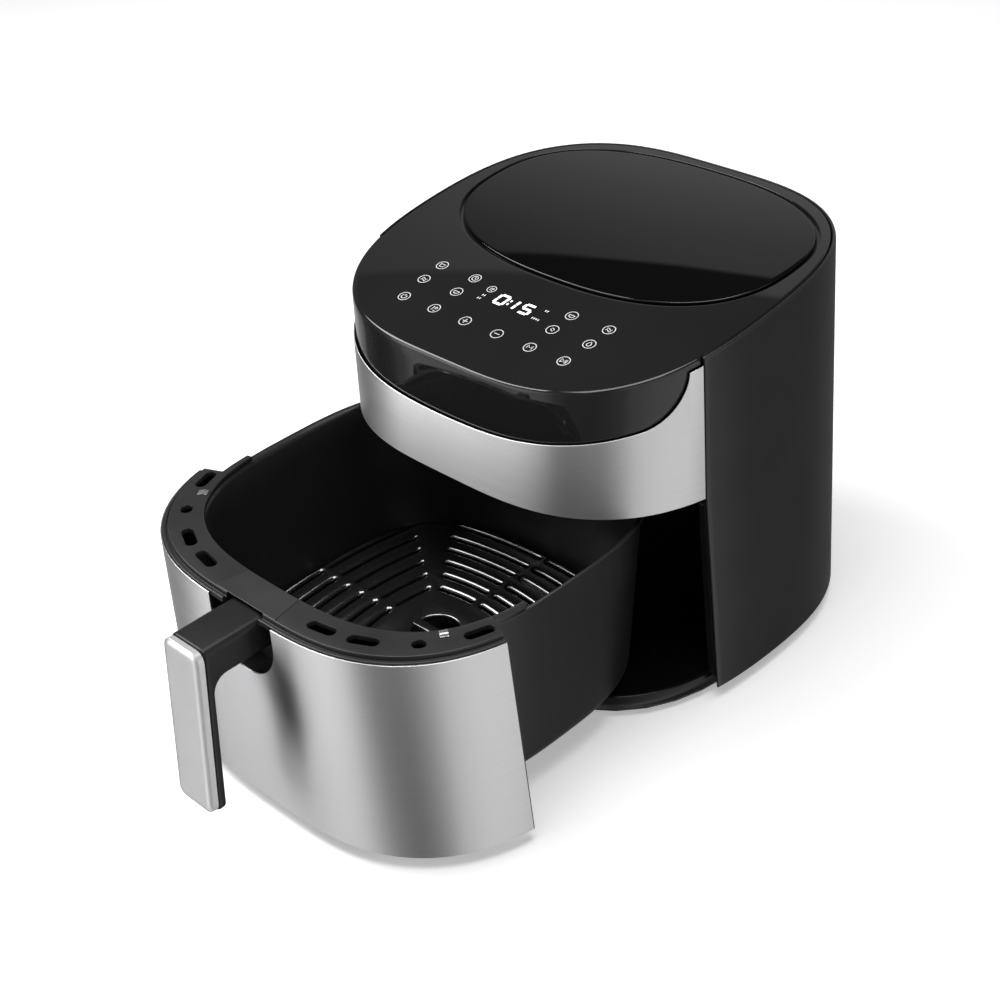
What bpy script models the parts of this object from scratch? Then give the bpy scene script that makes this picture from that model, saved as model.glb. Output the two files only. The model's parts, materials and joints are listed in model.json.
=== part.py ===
"""Basket air fryer with a round-cornered body, a sloping gloss top and a pull-out drawer.

Run with:  blender --background --python part.py

The front faces -Y and +Z is up. The floor is z = 0, and x = 0 is the plane of symmetry. All sizes below are in
millimetres, and each helper turns them into metres. Angles of the body's plan are counted from the front towards
+X. The drawer stands open by DRAWER_OPEN, and its pieces are drawn at their closed place under a shifted empty.
"""

import math

import bmesh
import bpy
from mathutils import Matrix, Vector

MM = 0.001
GAP = 0.3

# Body
PLAN_RADIUS = 148.0
PLAN_TWO_LOBE = 0.029
PLAN_FOUR_LOBE = 0.050
TAPER = 0.039
SHELL_BOTTOM = 9.0
TOP_HEIGHT = 261.7
TOP_SLOPE = 0.1143
TOP_CROWN = 6.2
HALF_WIDTH = 145.0
SEAM = 68.0
SEAM_SLANT = 2.6
SHELL_WALL = 2.2
SHELL_SEAT = SHELL_WALL + 0.4

# Base
FOOT_HEIGHT = 3.7
FOOT_RADIUS = 11.0
FEET = [(-95, -72), (95, -72), (-95, 98), (95, 98)]
BASE_BOTTOM = FOOT_HEIGHT + GAP
BASE_INSET = 8.5
BASE_COVER = 2.6
SILL_TOP = 16.5
BASE_FLOOR = 13.5
BASE_WALL = 2.5
BASE_SCREWS = [(-48, -104), (48, -104), (-48, 108), (48, 108)]

# Front
BAND_BOTTOM = 159.0
BAND_TOP = 202.5
BAND_SAG = 14.0
HORN_START = 52.5
HORN_END = 64.1
HORN_RISE = 26.4
BAND_PROUD = 0.7
BAND_WALL = 0.9
FASCIA_INSET = 1.2
HOOD_WALL = 2.2
HOOD_EDGE = 3.2
HOOD_BACK_INSET = SHELL_SEAT + 0.9
HOOD_BACK_DEPTH = 9.0
FRAME_INSET = 3.6
FRAME_WALL = 2.4
FRAME_TOP = 226.0
POST_START = SEAM - 0.2
POST_END = 71.6
POST_DEPTH = 10.6

# Lid in the top
LID_HALF_WIDTH = 128.5
LID_HALF_DEPTH = 83.5
LID_POWER = 2.45
LID_CENTRE = 43.0
LID_GROOVE = 2.4
LID_SHELF = 2.6
SHELF_WIDTH = 6.0

# Drawer
DRAWER_OPEN = 170.0
DRAWER_CENTRE = 7.5
PAN_HALF_WIDTH = 125.5
PAN_HALF_DEPTH = 119.0
PAN_POWER = 3.0
PAN_WALL = 1.5
PAN_TOP = 151.0
PAN_BOTTOM = 17.6
PAN_TAPER = 0.083
PAN_CORNER = 14.0
PAN_FLANGE = 3.0
RIM_BOTTOM = PAN_TOP + GAP
RIM_TOP = 154.5
RIM_LIP = 152.6
RIM_SKIRT = 149.0
PANEL_TOP = 151.5
PANEL_BOTTOM = 9.6
PANEL_END = 66.9
PANEL_INSET = 1.0
PANEL_WALL = 0.9
BACKING_WALL = 3.6
BACKING_END = 67.3
BACKING_BOTTOM = 8.4
NOTCH_HALF = 28.5
NOTCH_BOTTOM = 109.0
VENT_ANGLES = [24.0, 35.5, 48.5, 62.5]
VENT_LENGTHS = [19.5, 19.5, 8.5, 18.5]
VENT_WIDTH = 7.4

# Handle
ARM_TOP = 151.5
ARM_BOTTOM = 128.0
ARM_HALF = 16.0
ARM_REAR = -123.4
ARM_SCREW_Z = 138.0
GRIP_TOP_Y = -174.8
GRIP_BOTTOM_Y = -185.6
GRIP_BOTTOM = 38.5
GRIP_BACK = 6.4
GRIP_PLATE = 5.6
GRIP_HALF = 16.5
GRIP_CORNER = 10.0
POCKET_REAR = -121.4
POCKET_WALL = 1.6

# Crisper plate
PLATE_TOP = 50.0
PLATE_WALL = 1.5
PLATE_GAP = 2.2
PLATE_POWER = 3.2
PLATE_RINGS = 7
PLATE_BAR = 4.2
FINGER_HOLE = 17.0

# Cavity and hot-air unit
CAVITY_HALF_WIDTH = 133.0
CAVITY_HALF_DEPTH = 128.0
CAVITY_WALL = 1.0
CAVITY_BOTTOM = 17.0
CAVITY_TOP = 164.0
CAVITY_FRONT = -36.0
RAIL_SIZE = (4.2, 72.0, 6.0)
AXIS_Y = 3.0
CHAMBER_RADIUS = 106.0
CHAMBER_BOTTOM = 165.0
CHAMBER_ROOF = 206.0
FLANGE_RADIUS = 117.0
ELEMENT_Z = 178.0
ELEMENT_RADIUS = 3.2
SHAFT_RADIUS = 3.0
SHAFT_BOTTOM = 184.0
SHAFT_TOP = 238.0
SHIELD_Z = 209.0
MOTOR_RADIUS = 30.0
MOTOR_BOTTOM = 222.0
MOTOR_TOP = 245.0

# Drawer switch: its plunger's tip, just behind the closed drawer's rim
SWITCH_PLACE = (137.0, -56.6, 151.6)
PLUNGER_RADIUS = 1.5

# Rear
GRILLE_SIZE = (70.0, 24.0)
GRILLE_Z = 228.0
INLET_Z = 32.0
INLET_RADIUS = 7.0
INLET_FLANGE = 9.0
INLET_BORE = 3.4

# The floor origin lies under the middle of the open object, from the grip's foot to the inlet at the back.
GRIP_LEAN = 0.03
FRONT_END = GRIP_BOTTOM_Y - GRIP_PLATE - GRIP_LEAN - DRAWER_OPEN
BACK_END = 143.14
ORIGIN_Y = -(FRONT_END + BACK_END) / 2

PARTS = None
CUTTERS = None


# ---------------------------------------------------------------- scene helpers

def clear_scene():
    for item in list(bpy.data.objects):
        bpy.data.objects.remove(item, do_unlink=True)


def make_collection(name):
    collection = bpy.data.collections.new(name)
    bpy.context.scene.collection.children.link(collection)
    return collection


def material(name, colour, roughness, metallic=0.0):
    made = bpy.data.materials.new(name)
    made.use_nodes = True
    shader = made.node_tree.nodes["Principled BSDF"]
    shader.inputs["Base Color"].default_value = (*colour, 1.0)
    shader.inputs["Roughness"].default_value = roughness
    shader.inputs["Metallic"].default_value = metallic
    return made


def empty(name, location, parent=None):
    made = bpy.data.objects.new(name, None)
    made.location = [value * MM for value in location]
    made.parent = parent
    PARTS.objects.link(made)
    return made


def mesh_object(name, bm, look, parent, smooth=True):
    """A visible object of a bmesh whose vertices are in millimetres; its material is its look."""
    bmesh.ops.scale(bm, vec=(MM, MM, MM), verts=bm.verts)
    mesh = bpy.data.meshes.new(name)
    bm.to_mesh(mesh)
    bm.free()
    if smooth:
        mesh.shade_smooth()
        mesh.set_sharp_from_angle(angle=math.radians(35))
    made = bpy.data.objects.new(name, mesh)
    made.parent = parent
    if look is None:
        made.hide_render = True
        made.display_type = "WIRE"
        CUTTERS.objects.link(made)
    else:
        mesh.materials.append(look)
        PARTS.objects.link(made)
    return made


def solidify(item, thickness, offset=-1.0, even=True):
    """Gives an open skin its wall, on the skin's inner side unless the offset is 1."""
    modifier = item.modifiers.new("Wall", "SOLIDIFY")
    modifier.thickness = thickness * MM
    modifier.offset = offset
    modifier.use_even_offset = even
    return item


def bevel(item, width, segments=2):
    modifier = item.modifiers.new("Edges", "BEVEL")
    modifier.width = width * MM
    modifier.segments = segments
    modifier.limit_method = "ANGLE"
    modifier.angle_limit = math.radians(40)
    return item


def boolean(item, other, operation):
    modifier = item.modifiers.new(operation.title(), "BOOLEAN")
    modifier.operation = operation
    modifier.object = other
    modifier.solver = "EXACT"
    return item


def cut(item, *others):
    for other in others:
        boolean(item, other, "DIFFERENCE")
    return item


def join(item, *others):
    for other in others:
        boolean(item, other, "UNION")
    return item


# ---------------------------------------------------------------- solids

def box(name, size, centre, look=None, parent=None, tilt=0.0):
    """A box of a size about a centre, tilted about X by an angle in degrees."""
    bm = bmesh.new()
    bmesh.ops.create_cube(bm, size=1.0)
    bmesh.ops.scale(bm, vec=size, verts=bm.verts)
    bmesh.ops.rotate(bm, matrix=Matrix.Rotation(math.radians(tilt), 3, "X"), verts=bm.verts)
    bmesh.ops.translate(bm, vec=centre, verts=bm.verts)
    return mesh_object(name, bm, look, parent, smooth=False)


def cylinder(name, radius, length, centre, look=None, parent=None, axis="Z", sides=24):
    """A cylinder along one axis about a centre."""
    bm = bmesh.new()
    bmesh.ops.create_cone(
        bm,
        cap_ends=True,
        segments=sides,
        radius1=radius,
        radius2=radius,
        depth=length,
    )
    turn = {"X": ("Y", 90), "Y": ("X", -90), "Z": ("Z", 0)}[axis]
    bmesh.ops.rotate(bm, matrix=Matrix.Rotation(math.radians(turn[1]), 3, turn[0]), verts=bm.verts)
    bmesh.ops.translate(bm, vec=centre, verts=bm.verts)
    return mesh_object(name, bm, look, parent)


def turned(name, profile, look=None, parent=None, ring=False, steps=24):
    """A profile of (radius, height) points turned about Z. It runs down its outer side; a ring's is closed."""
    bm = bmesh.new()
    points = [bm.verts.new((radius, 0, height)) for radius, height in profile]
    for start, end in zip(points, points[1:]):
        bm.edges.new((start, end))
    if ring:
        bm.edges.new((points[-1], points[0]))
    made = mesh_object(name, bm, look, parent)
    screw = made.modifiers.new("Turn", "SCREW")
    screw.steps = steps
    screw.render_steps = steps
    screw.use_merge_vertices = True
    screw.merge_threshold = 0.00001
    return made


def slab(name, outline, low, high, look=None, parent=None, axis="Z"):
    """An outline swept from low to high along an axis; the outline's points are in the other two axes."""
    order = {
        "X": lambda u, v, w: (w, u, v),
        "Y": lambda u, v, w: (u, w, v),
        "Z": lambda u, v, w: (u, v, w),
    }[axis]
    bm = bmesh.new()
    face = bm.faces.new([bm.verts.new(order(u, v, low)) for u, v in outline])
    swept = bmesh.ops.extrude_face_region(bm, geom=[face])
    moved = [item for item in swept["geom"] if isinstance(item, bmesh.types.BMVert)]
    bmesh.ops.translate(bm, vec=Vector(order(0, 0, high - low)), verts=moved)
    bmesh.ops.recalc_face_normals(bm, faces=bm.faces)
    return mesh_object(name, bm, look, parent)


def loft(name, loops, look=None, parent=None, closed=True, start_cap=False, end_cap=False, solid=False):
    """A skin over loops of equally many points. Its faces look outwards where loops rise and points go to +X."""
    bm = bmesh.new()
    rows = [[bm.verts.new(point) for point in loop] for loop in loops]
    for low, high in zip(rows, rows[1:]):
        count = len(low) if closed else len(low) - 1
        for index in range(count):
            after = (index + 1) % len(low)
            bm.faces.new((low[index], low[after], high[after], high[index]))
    if start_cap:
        bm.faces.new(reversed(rows[0]))
    if end_cap:
        bm.faces.new(rows[-1])
    if solid:
        bmesh.ops.recalc_face_normals(bm, faces=bm.faces)
    return mesh_object(name, bm, look, parent)


def wire(name, points, radius, look, parent, cyclic=False):
    """A round wire through points, as a curve."""
    curve = bpy.data.curves.new(name, "CURVE")
    curve.dimensions = "3D"
    curve.bevel_depth = radius * MM
    curve.bevel_resolution = 1
    curve.use_fill_caps = True
    spline = curve.splines.new("POLY")
    spline.points.add(len(points) - 1)
    spline.use_cyclic_u = cyclic
    for slot, point in zip(spline.points, points):
        slot.co = (*[value * MM for value in point], 1.0)
    curve.materials.append(look)
    made = bpy.data.objects.new(name, curve)
    made.parent = parent
    PARTS.objects.link(made)
    return made


# ---------------------------------------------------------------- the body's shape

def plan_radius(angle):
    """Radius of the plan at the top edge, at an angle in degrees from the front."""
    turn = math.radians(angle)
    return PLAN_RADIUS * (1 - PLAN_TWO_LOBE * math.cos(2 * turn) - PLAN_FOUR_LOBE * math.cos(4 * turn))


def taper(z):
    return 1 + TAPER * (1 - (z - SHELL_BOTTOM) / (TOP_HEIGHT - SHELL_BOTTOM))


def wall_point(angle, z, inset=0.0):
    radius = plan_radius(angle) * taper(z) - inset
    turn = math.radians(angle)
    return (radius * math.sin(turn), -radius * math.cos(turn), z)


def seam_angle(z, angle=SEAM):
    """Angle of the seam between the drawer front and the shell, or of a line beside it, at a height."""
    return angle + SEAM_SLANT * max(0.0, (BAND_BOTTOM - z) / (BAND_BOTTOM - SHELL_BOTTOM))


def top_z(y):
    return TOP_HEIGHT + TOP_SLOPE * y - TOP_CROWN * (y / HALF_WIDTH) ** 2


def top_slope(y):
    """Slope angle of the top, in degrees."""
    return math.degrees(math.atan(TOP_SLOPE - 2 * TOP_CROWN * y / HALF_WIDTH ** 2))


def edge_z(angle):
    """Height of the body's top edge at an angle."""
    return top_z(wall_point(angle, TOP_HEIGHT)[1])


def band_top_z(angle):
    """Top line of the steel band: it rises gently to the sides and turns up into a horn."""
    turn = min(abs(angle), HORN_END)
    rise = BAND_SAG * (turn / HORN_START) ** 2
    share = max(0.0, (turn - HORN_START) / (HORN_END - HORN_START))
    horn = HORN_RISE * (1 - math.sqrt(max(0.0, 1 - share * share)))
    return min(BAND_TOP + rise + horn, edge_z(angle) - HOOD_EDGE - 1.4)


def oval(half_width, half_depth, centre, power, z, count=48):
    """A rounded rectangle (superellipse) as points from the front towards +X."""
    points = []
    for index in range(count):
        turn = 2 * math.pi * index / count
        side, front = math.sin(turn), math.cos(turn)
        scale = abs(side / half_width) ** power + abs(front / half_depth) ** power
        radius = scale ** (-1 / power)
        points.append((radius * side, centre - radius * front, z))
    return points


def front_angles(end, fine=False):
    """Angles across the front from -end to end, closer together in the horns."""
    half = [3.0 + 5.5 * index for index in range(9)]
    half += [HORN_START + 2.9 * index for index in range(1, 4)] if fine else [HORN_START + 5]
    if fine:
        half += [HORN_END - 0.9, HORN_END - 0.2, HORN_END]
    half = [angle for angle in half if angle < end - 0.5] + [end]
    return [-angle for angle in reversed(half)] + half


def spread(start, end, count):
    return [start + (end - start) * index / count for index in range(count + 1)]


def pan_oval(z, grow=0.0, count=48):
    """Outline of the pan's outer wall at a height, grown or shrunk."""
    lean = PAN_TAPER * (PAN_TOP - z)
    return oval(PAN_HALF_WIDTH - lean + grow, PAN_HALF_DEPTH - lean + grow, DRAWER_CENTRE, PAN_POWER, z, count)


# ---------------------------------------------------------------- housing

def outer_shell(look, parent):
    """The wrap-round cover: both sides and the back, with a rounded top edge."""
    angles = spread(SEAM, 360 - SEAM, 44)
    loops = []
    for z in (SHELL_BOTTOM, 84.0, BAND_BOTTOM):
        edge = seam_angle(z)
        loops.append([wall_point(angle, z) for angle in spread(edge, 360 - edge, 44)])
    for inset, drop in ((0.0, 14.0), (0.0, 2.6), (0.8, 0.8), (SHELL_WALL, 0.0)):
        loops.append([wall_point(angle, edge_z(angle) - drop, inset) for angle in angles])
    shell = solidify(loft("outer_shell", loops, look, parent, closed=False), SHELL_WALL)
    width, height = GRILLE_SIZE
    window = box("grille_window", (width + 0.8, 30, height + 0.8), (0, 137, GRILLE_Z), parent=parent)
    hole = cylinder("inlet_hole", INLET_RADIUS + 0.4, 30, (0, 137, INLET_Z), parent=parent, axis="Y")
    return cut(shell, window, hole)


def base_tray(look, parent):
    """Floor of the drawer's cavity with a raised sill all round."""
    angles = spread(0, 360, 48)[:-1]
    rows = [
        (BASE_BOTTOM + BASE_COVER + GAP, BASE_INSET),
        (SILL_TOP - 1, BASE_INSET),
        (SILL_TOP, BASE_INSET + 1),
        (SILL_TOP, BASE_INSET + 4),
        (BASE_FLOOR, BASE_INSET + 7),
    ]
    loops = [[wall_point(angle, z, inset) for angle in angles] for z, inset in rows]
    tray = loft("base_tray", loops, look, parent, end_cap=True)
    return solidify(tray, BASE_WALL)


def base_cover(look, parent):
    """Flat plate under the base, with a hole for each screw."""
    angles = spread(0, 360, 48)[:-1]
    rows = [
        (BASE_BOTTOM, BASE_INSET + 1.5),
        (BASE_BOTTOM + 1.2, BASE_INSET),
        (BASE_BOTTOM + BASE_COVER, BASE_INSET),
    ]
    loops = [[wall_point(angle, z, inset) for angle in angles] for z, inset in rows]
    cover = loft("base_cover", loops, look, parent, start_cap=True, end_cap=True)
    for index, (x, y) in enumerate(BASE_SCREWS):
        cut(cover, cylinder(f"base_hole_{index}", 2.0, 20, (x, y, BASE_BOTTOM), parent=parent, sides=16))
    return cover


def feet(look, parent):
    for index, (x, y) in enumerate(FEET, start=1):
        foot = cylinder(f"foot_{index}", FOOT_RADIUS, FOOT_HEIGHT, (x, y, FOOT_HEIGHT / 2), look, parent)
        bevel(foot, 0.6, 1)


def base_screws(look, parent):
    """Pan-head screws seen from below; each shank goes up through the cover."""
    head, shank = BASE_BOTTOM - GAP, BASE_BOTTOM + BASE_COVER
    profile = [
        (0, shank), (1.7, shank), (1.7, head), (3.6, head),
        (3.6, head - 1.0), (2.6, head - 1.8), (0, head - 1.8),
    ]
    for index, (x, y) in enumerate(BASE_SCREWS, start=1):
        screw = turned(f"base_screw_{index}", profile, look, parent, steps=16)
        screw.location = (x * MM, y * MM, 0)


def front_frame(look, parent):
    """Two posts at the shell's front edges and the curved carrier behind the band and the fascia."""
    angles = front_angles(POST_END)
    rows = [(BAND_BOTTOM + 1, FRAME_INSET), (BAND_BOTTOM + 30, FRAME_INSET), (FRAME_TOP, FRAME_INSET)]
    loops = [[wall_point(angle, z, inset) for angle in angles] for z, inset in rows]
    frame = solidify(loft("front_frame", loops, look, parent, closed=False), FRAME_WALL)
    for side in (-1, 1):
        join(frame, frame_post(side, parent))
    return cut(frame, cylinder("plunger_hole", PLUNGER_RADIUS + 0.6, 24, SWITCH_PLACE, parent=parent, axis="Y"))


def frame_post(side, parent):
    corners = [
        (POST_START, SHELL_SEAT), (POST_END, SHELL_SEAT),
        (POST_END, POST_DEPTH), (POST_START, POST_DEPTH),
    ]
    heights = (SILL_TOP + GAP, 90, BAND_BOTTOM, BAND_BOTTOM + 14)
    loops = [[wall_point(side * seam_angle(z, angle), z, inset) for angle, inset in corners] for z in heights]
    return loft(f"post_{side}", loops, None, parent, start_cap=True, end_cap=True, solid=True)


def steel_band(look, parent):
    """Brushed band under the gloss fascia, with a horn at each end."""
    angles = front_angles(SEAM - 0.4, fine=True)
    loops = []
    for share in (0.0, 0.5, 1.0):
        loop = []
        for angle in angles:
            z = BAND_BOTTOM + share * (band_top_z(angle) - BAND_BOTTOM)
            loop.append(wall_point(angle, z, -BAND_PROUD))
        loops.append(loop)
    return solidify(loft("steel_band", loops, look, parent, closed=False), BAND_WALL, even=False)


def hood_angles():
    front = front_angles(SEAM - 0.9, fine=True)
    return front + spread(SEAM - 0.3, 360 - SEAM + 0.3, 30)


def top_hood(look, parent):
    """Gloss hood in one moulding: the front fascia, the touch area and a ring round the lid."""
    angles = hood_angles()
    edges = []
    for angle in angles:
        if abs(angle) < SEAM - 0.5:
            edges.append((angle, FASCIA_INSET, band_top_z(angle) + 0.5))
        else:
            edges.append((angle, HOOD_BACK_INSET, edge_z(angle) - HOOD_BACK_DEPTH))
    loops = []
    for share in (0.0, 0.5, 1.0):
        loop = []
        for angle, inset, low in edges:
            z = low + share * (edge_z(angle) - HOOD_EDGE - low)
            loop.append(wall_point(angle, z, inset))
        loops.append(loop)
    for step, drop in ((0.9, 0.9), (HOOD_EDGE, 0.0)):
        loop = []
        for angle, inset, _ in edges:
            x, y, z = wall_point(angle, edge_z(angle), inset + step)
            loop.append((x, y, top_z(y) - drop))
        loops.append(loop)
    for grow, drop in ((0.0, 0.0), (-0.3, LID_SHELF), (-SHELF_WIDTH, LID_SHELF)):
        loops.append([lid_point(angle, grow, -drop) for angle in angles])
    return solidify(loft("top_hood", loops, look, parent), HOOD_WALL, even=False)


def lid_point(angle, grow, rise, share=1.0):
    """A point of the lid's outline, at an angle about the lid's middle, grown and raised over the top."""
    turn = math.radians(angle)
    side, front = math.sin(turn), math.cos(turn)
    scale = abs(side / (LID_HALF_WIDTH + grow)) ** LID_POWER + abs(front / (LID_HALF_DEPTH + grow)) ** LID_POWER
    radius = share * scale ** (-1 / LID_POWER)
    y = LID_CENTRE - radius * front
    return (radius * side, y, top_z(y) + rise)


def lid_panel(look, parent):
    """Gloss lid that lies in the hood's recess behind a narrow groove."""
    angles = spread(0, 360, 48)[:-1]
    rows = [
        (-LID_SHELF + 2 * GAP, 1.0, 0.4),
        (-LID_SHELF + 2 * GAP, 1.0, 1.0),
        (-0.6, 1.0, 1.0),
        (0.2, 0.985, 1.0),
        (0.9, 0.85, 1.0),
        (1.4, 0.45, 1.0),
    ]
    loops = []
    for rise, share, bottom in rows:
        loops.append([lid_point(angle, -LID_GROOVE, rise, share * bottom) for angle in angles])
    return loft("lid_panel", loops, look, parent, start_cap=True, end_cap=True, solid=True)


def control_board(looks, parent):
    """Circuit board under the touch area with the display module standing on it."""
    y = -88
    tilt = top_slope(y)
    under = top_z(y) - HOOD_WALL
    box("control_board", (168, 58, 1.6), (0, y, under - 9.5), looks["board"], parent, tilt)
    module = box("display_module", (52, 24, 6.2), (0, y - 1, under - 5.0), looks["glass"], parent, tilt)
    bevel(module, 0.5, 1)


def power_board(look, parent):
    """Power circuit board with its transformer, relay and capacitor."""
    board = box("power_board", (44, 92, 1.6), (88, -38, 217), look, parent)
    join(
        board,
        box("transformer", (26, 24, 18), (88, -66, 226), parent=parent),
        box("relay", (16, 20, 13), (82, -30, 223.5), parent=parent),
        cylinder("capacitor", 6, 16, (98, -6, 225), parent=parent, sides=16),
    )
    return board


def rear_grille(look, parent):
    """Louvred vent in the back of the shell."""
    width, height = GRILLE_SIZE
    grille = box("rear_vent_grille", (width, 3.0, height), (0, 136.4, GRILLE_Z), look, parent)
    for index in range(5):
        z = GRILLE_Z - 8.4 + 4.2 * index
        cut(grille, box(f"louvre_{index}", (width - 8, 10, 2.2), (0, 136.4, z), parent=parent))
    return grille


def exhaust_duct(look, parent):
    """Square duct that leads the used air to the grille."""
    duct = box("exhaust_duct", (66, 24, 22), (0, 122.4, GRILLE_Z), look, parent)
    return cut(duct, box("duct_bore", (63, 40, 19), (0, 122.4, GRILLE_Z), parent=parent))


def cord_inlet(look, parent):
    """Grommet in the back where the mains lead enters."""
    wall = wall_point(180, INLET_Z)[1]
    profile = [
        (INLET_BORE, 2.0), (INLET_FLANGE, 2.0), (INLET_FLANGE, 0.4), (INLET_RADIUS, 0.4),
        (INLET_RADIUS, -6.0), (INLET_BORE, -6.0),
    ]
    inlet = turned("cord_inlet", profile, look, parent, ring=True, steps=24)
    inlet.location = (0, wall * MM, INLET_Z * MM)
    inlet.rotation_euler = (math.radians(-90), 0, 0)
    return inlet


def cavity_liner(look, parent):
    """Side and back walls of the cavity that the drawer slides into."""
    outline = oval(CAVITY_HALF_WIDTH, CAVITY_HALF_DEPTH, AXIS_Y, PAN_POWER, 0, 72)
    wall = [(x, y) for x, y, z in outline if y > CAVITY_FRONT]
    loops = [[(x, y, z) for x, y in wall] for z in (CAVITY_BOTTOM, 90, CAVITY_TOP)]
    return solidify(loft("cavity_liner", loops, look, parent, closed=False), CAVITY_WALL, offset=1.0)


def drawer_rails(look, parent):
    """A rail on each side of the cavity, under the pan's flange."""
    top = PAN_TOP - 2 * PAN_WALL - GAP
    middle = PAN_HALF_WIDTH + 1.0 + RAIL_SIZE[0] / 2
    for side, name in ((-1, "rail_left"), (1, "rail_right")):
        rail = box(name, RAIL_SIZE, (side * middle, AXIS_Y, top - RAIL_SIZE[2] / 2), look, parent)
        bevel(rail, 1.0, 1)


def switch_body(look, parent):
    """Drawer switch between the cavity and the shell, behind the right post, with a bore for its plunger."""
    x, y, z = SWITCH_PLACE
    body = box("switch_body", (7.0, 20.0, 12.0), (x + 0.7, y + 24.0, z), look, parent)
    return cut(body, cylinder("switch_bore", PLUNGER_RADIUS + 0.4, 18, (x, y + 14.5, z), parent=parent, axis="Y"))


def switch_plunger(look, parent):
    """Sprung pin that reaches through the post to the end of the drawer's rim."""
    pin = cylinder("switch_plunger", PLUNGER_RADIUS, 19, (0, 9.5, 0), look, parent, axis="Y", sides=16)
    return bevel(pin, 0.4, 1)


def chamber_top(look, parent):
    """Pressed pan over the food that holds the element and the fan."""
    profile = [
        (SHAFT_RADIUS + 3, CHAMBER_ROOF),
        (CHAMBER_RADIUS - 8, CHAMBER_ROOF),
        (CHAMBER_RADIUS, CHAMBER_ROOF - 8),
        (CHAMBER_RADIUS, CHAMBER_BOTTOM + 1),
        (FLANGE_RADIUS, CHAMBER_BOTTOM + 1),
        (FLANGE_RADIUS, CHAMBER_BOTTOM),
        (CHAMBER_RADIUS - 1, CHAMBER_BOTTOM),
        (CHAMBER_RADIUS - 1, CHAMBER_ROOF - 8.4),
        (CHAMBER_RADIUS - 8.4, CHAMBER_ROOF - 1),
        (SHAFT_RADIUS + 3, CHAMBER_ROOF - 1),
    ]
    return turned("chamber_top", profile, look, parent, ring=True, steps=32)


def heating_element(look, parent):
    """Tubular element in two turns, with both ends rising to the roof."""
    turns, points = 1.86, []
    steps = 52
    for index in range(steps + 1):
        share = index / steps
        angle = 2 * math.pi * turns * share
        radius = 60 + 30 * share
        points.append((radius * math.sin(angle), -radius * math.cos(angle), ELEMENT_Z))
    first, last = points[0], points[-1]
    points.insert(0, (first[0] - 6, first[1] + 1, ELEMENT_Z + 4))
    points.insert(0, (first[0] - 8, first[1] + 1, CHAMBER_ROOF - 3))
    points.append((last[0] + 6, last[1] - 3, ELEMENT_Z + 4))
    points.append((last[0] + 8, last[1] - 4, CHAMBER_ROOF - 3))
    return wire("heating_element", points, ELEMENT_RADIUS, look, parent)


def element_clips(look, parent):
    """Flat clips that hang the element from the roof."""
    low, roof = ELEMENT_Z + ELEMENT_RADIUS + GAP, CHAMBER_ROOF - 1 - GAP
    for index, side in enumerate((-1, 1), start=1):
        x = side * 75.0
        clip = box(f"element_clip_{index}", (38, 1.2, 5), (x, 0, low + 2.5), look, parent)
        stem = box(f"clip_stem_{index}", (8, 1.2, roof - low - 1), (x, 0, (roof + low + 1) / 2), parent=parent)
        join(clip, stem)


def heater_guard(look, parent):
    """Grid of rings and spokes under the element."""
    z = 167.5
    guard = turned("heater_guard", ring_profile(101.5, 1.4, z), look, parent, ring=True, steps=32)
    for radius in (38, 70):
        join(guard, turned(f"guard_ring_{radius}", ring_profile(radius, 1.1, z), None, parent, ring=True))
    join(
        guard,
        cylinder("guard_spoke_x", 1.0, 202, (0, 0, z), None, parent, axis="X", sides=6),
        cylinder("guard_spoke_y", 1.0, 202, (0, 0, z), None, parent, axis="Y", sides=6),
    )
    return guard


def ring_profile(radius, wire_radius, z, sides=6):
    """A round wire's section, clockwise from its top."""
    points = []
    for index in range(sides):
        turn = 2 * math.pi * index / sides
        points.append((radius + wire_radius * math.sin(turn), z + wire_radius * math.cos(turn)))
    return points


def heat_shield(look, parent):
    profile = [(8, SHIELD_Z + 1), (113, SHIELD_Z + 1), (113, SHIELD_Z), (8, SHIELD_Z)]
    return turned("heat_shield", profile, look, parent, ring=True, steps=32)


def motor(looks, parent):
    """Fan motor with a bore for its shaft, and the strap that carries it."""
    bore = SHAFT_RADIUS + 0.4
    profile = [
        (bore, MOTOR_TOP), (MOTOR_RADIUS - 3, MOTOR_TOP), (MOTOR_RADIUS, MOTOR_TOP - 3),
        (MOTOR_RADIUS, MOTOR_BOTTOM + 3), (MOTOR_RADIUS - 3, MOTOR_BOTTOM), (bore, MOTOR_BOTTOM),
    ]
    turned("motor", profile, looks["steel"], parent, ring=True)
    top, foot, reach = MOTOR_TOP + GAP, SHIELD_Z + 1 + GAP, 56
    outline = [
        (-reach - 8, foot), (-reach, foot), (-reach, top), (reach, top), (reach, foot), (reach + 8, foot),
        (reach + 8, foot + 1.4), (reach + 1.4, foot + 1.4), (reach + 1.4, top + 1.4),
        (-reach - 1.4, top + 1.4), (-reach - 1.4, foot + 1.4), (-reach - 8, foot + 1.4),
    ]
    slab("motor_bracket", outline, -12, 12, looks["steel"], parent, axis="Y")


def sensors(looks, parent):
    """Air temperature probe inside the chamber, thermal fuse on the heat shield."""
    cylinder("temperature_sensor", 2.5, 24, (70, 64, 192), looks["steel"], parent, sides=16)
    fuse_place = (-62, 50, SHIELD_Z + 1 + GAP + 3)
    cylinder("thermal_fuse", 3.0, 20, fuse_place, looks["ceramic"], parent, axis="X", sides=16)


# ---------------------------------------------------------------- fan

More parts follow.
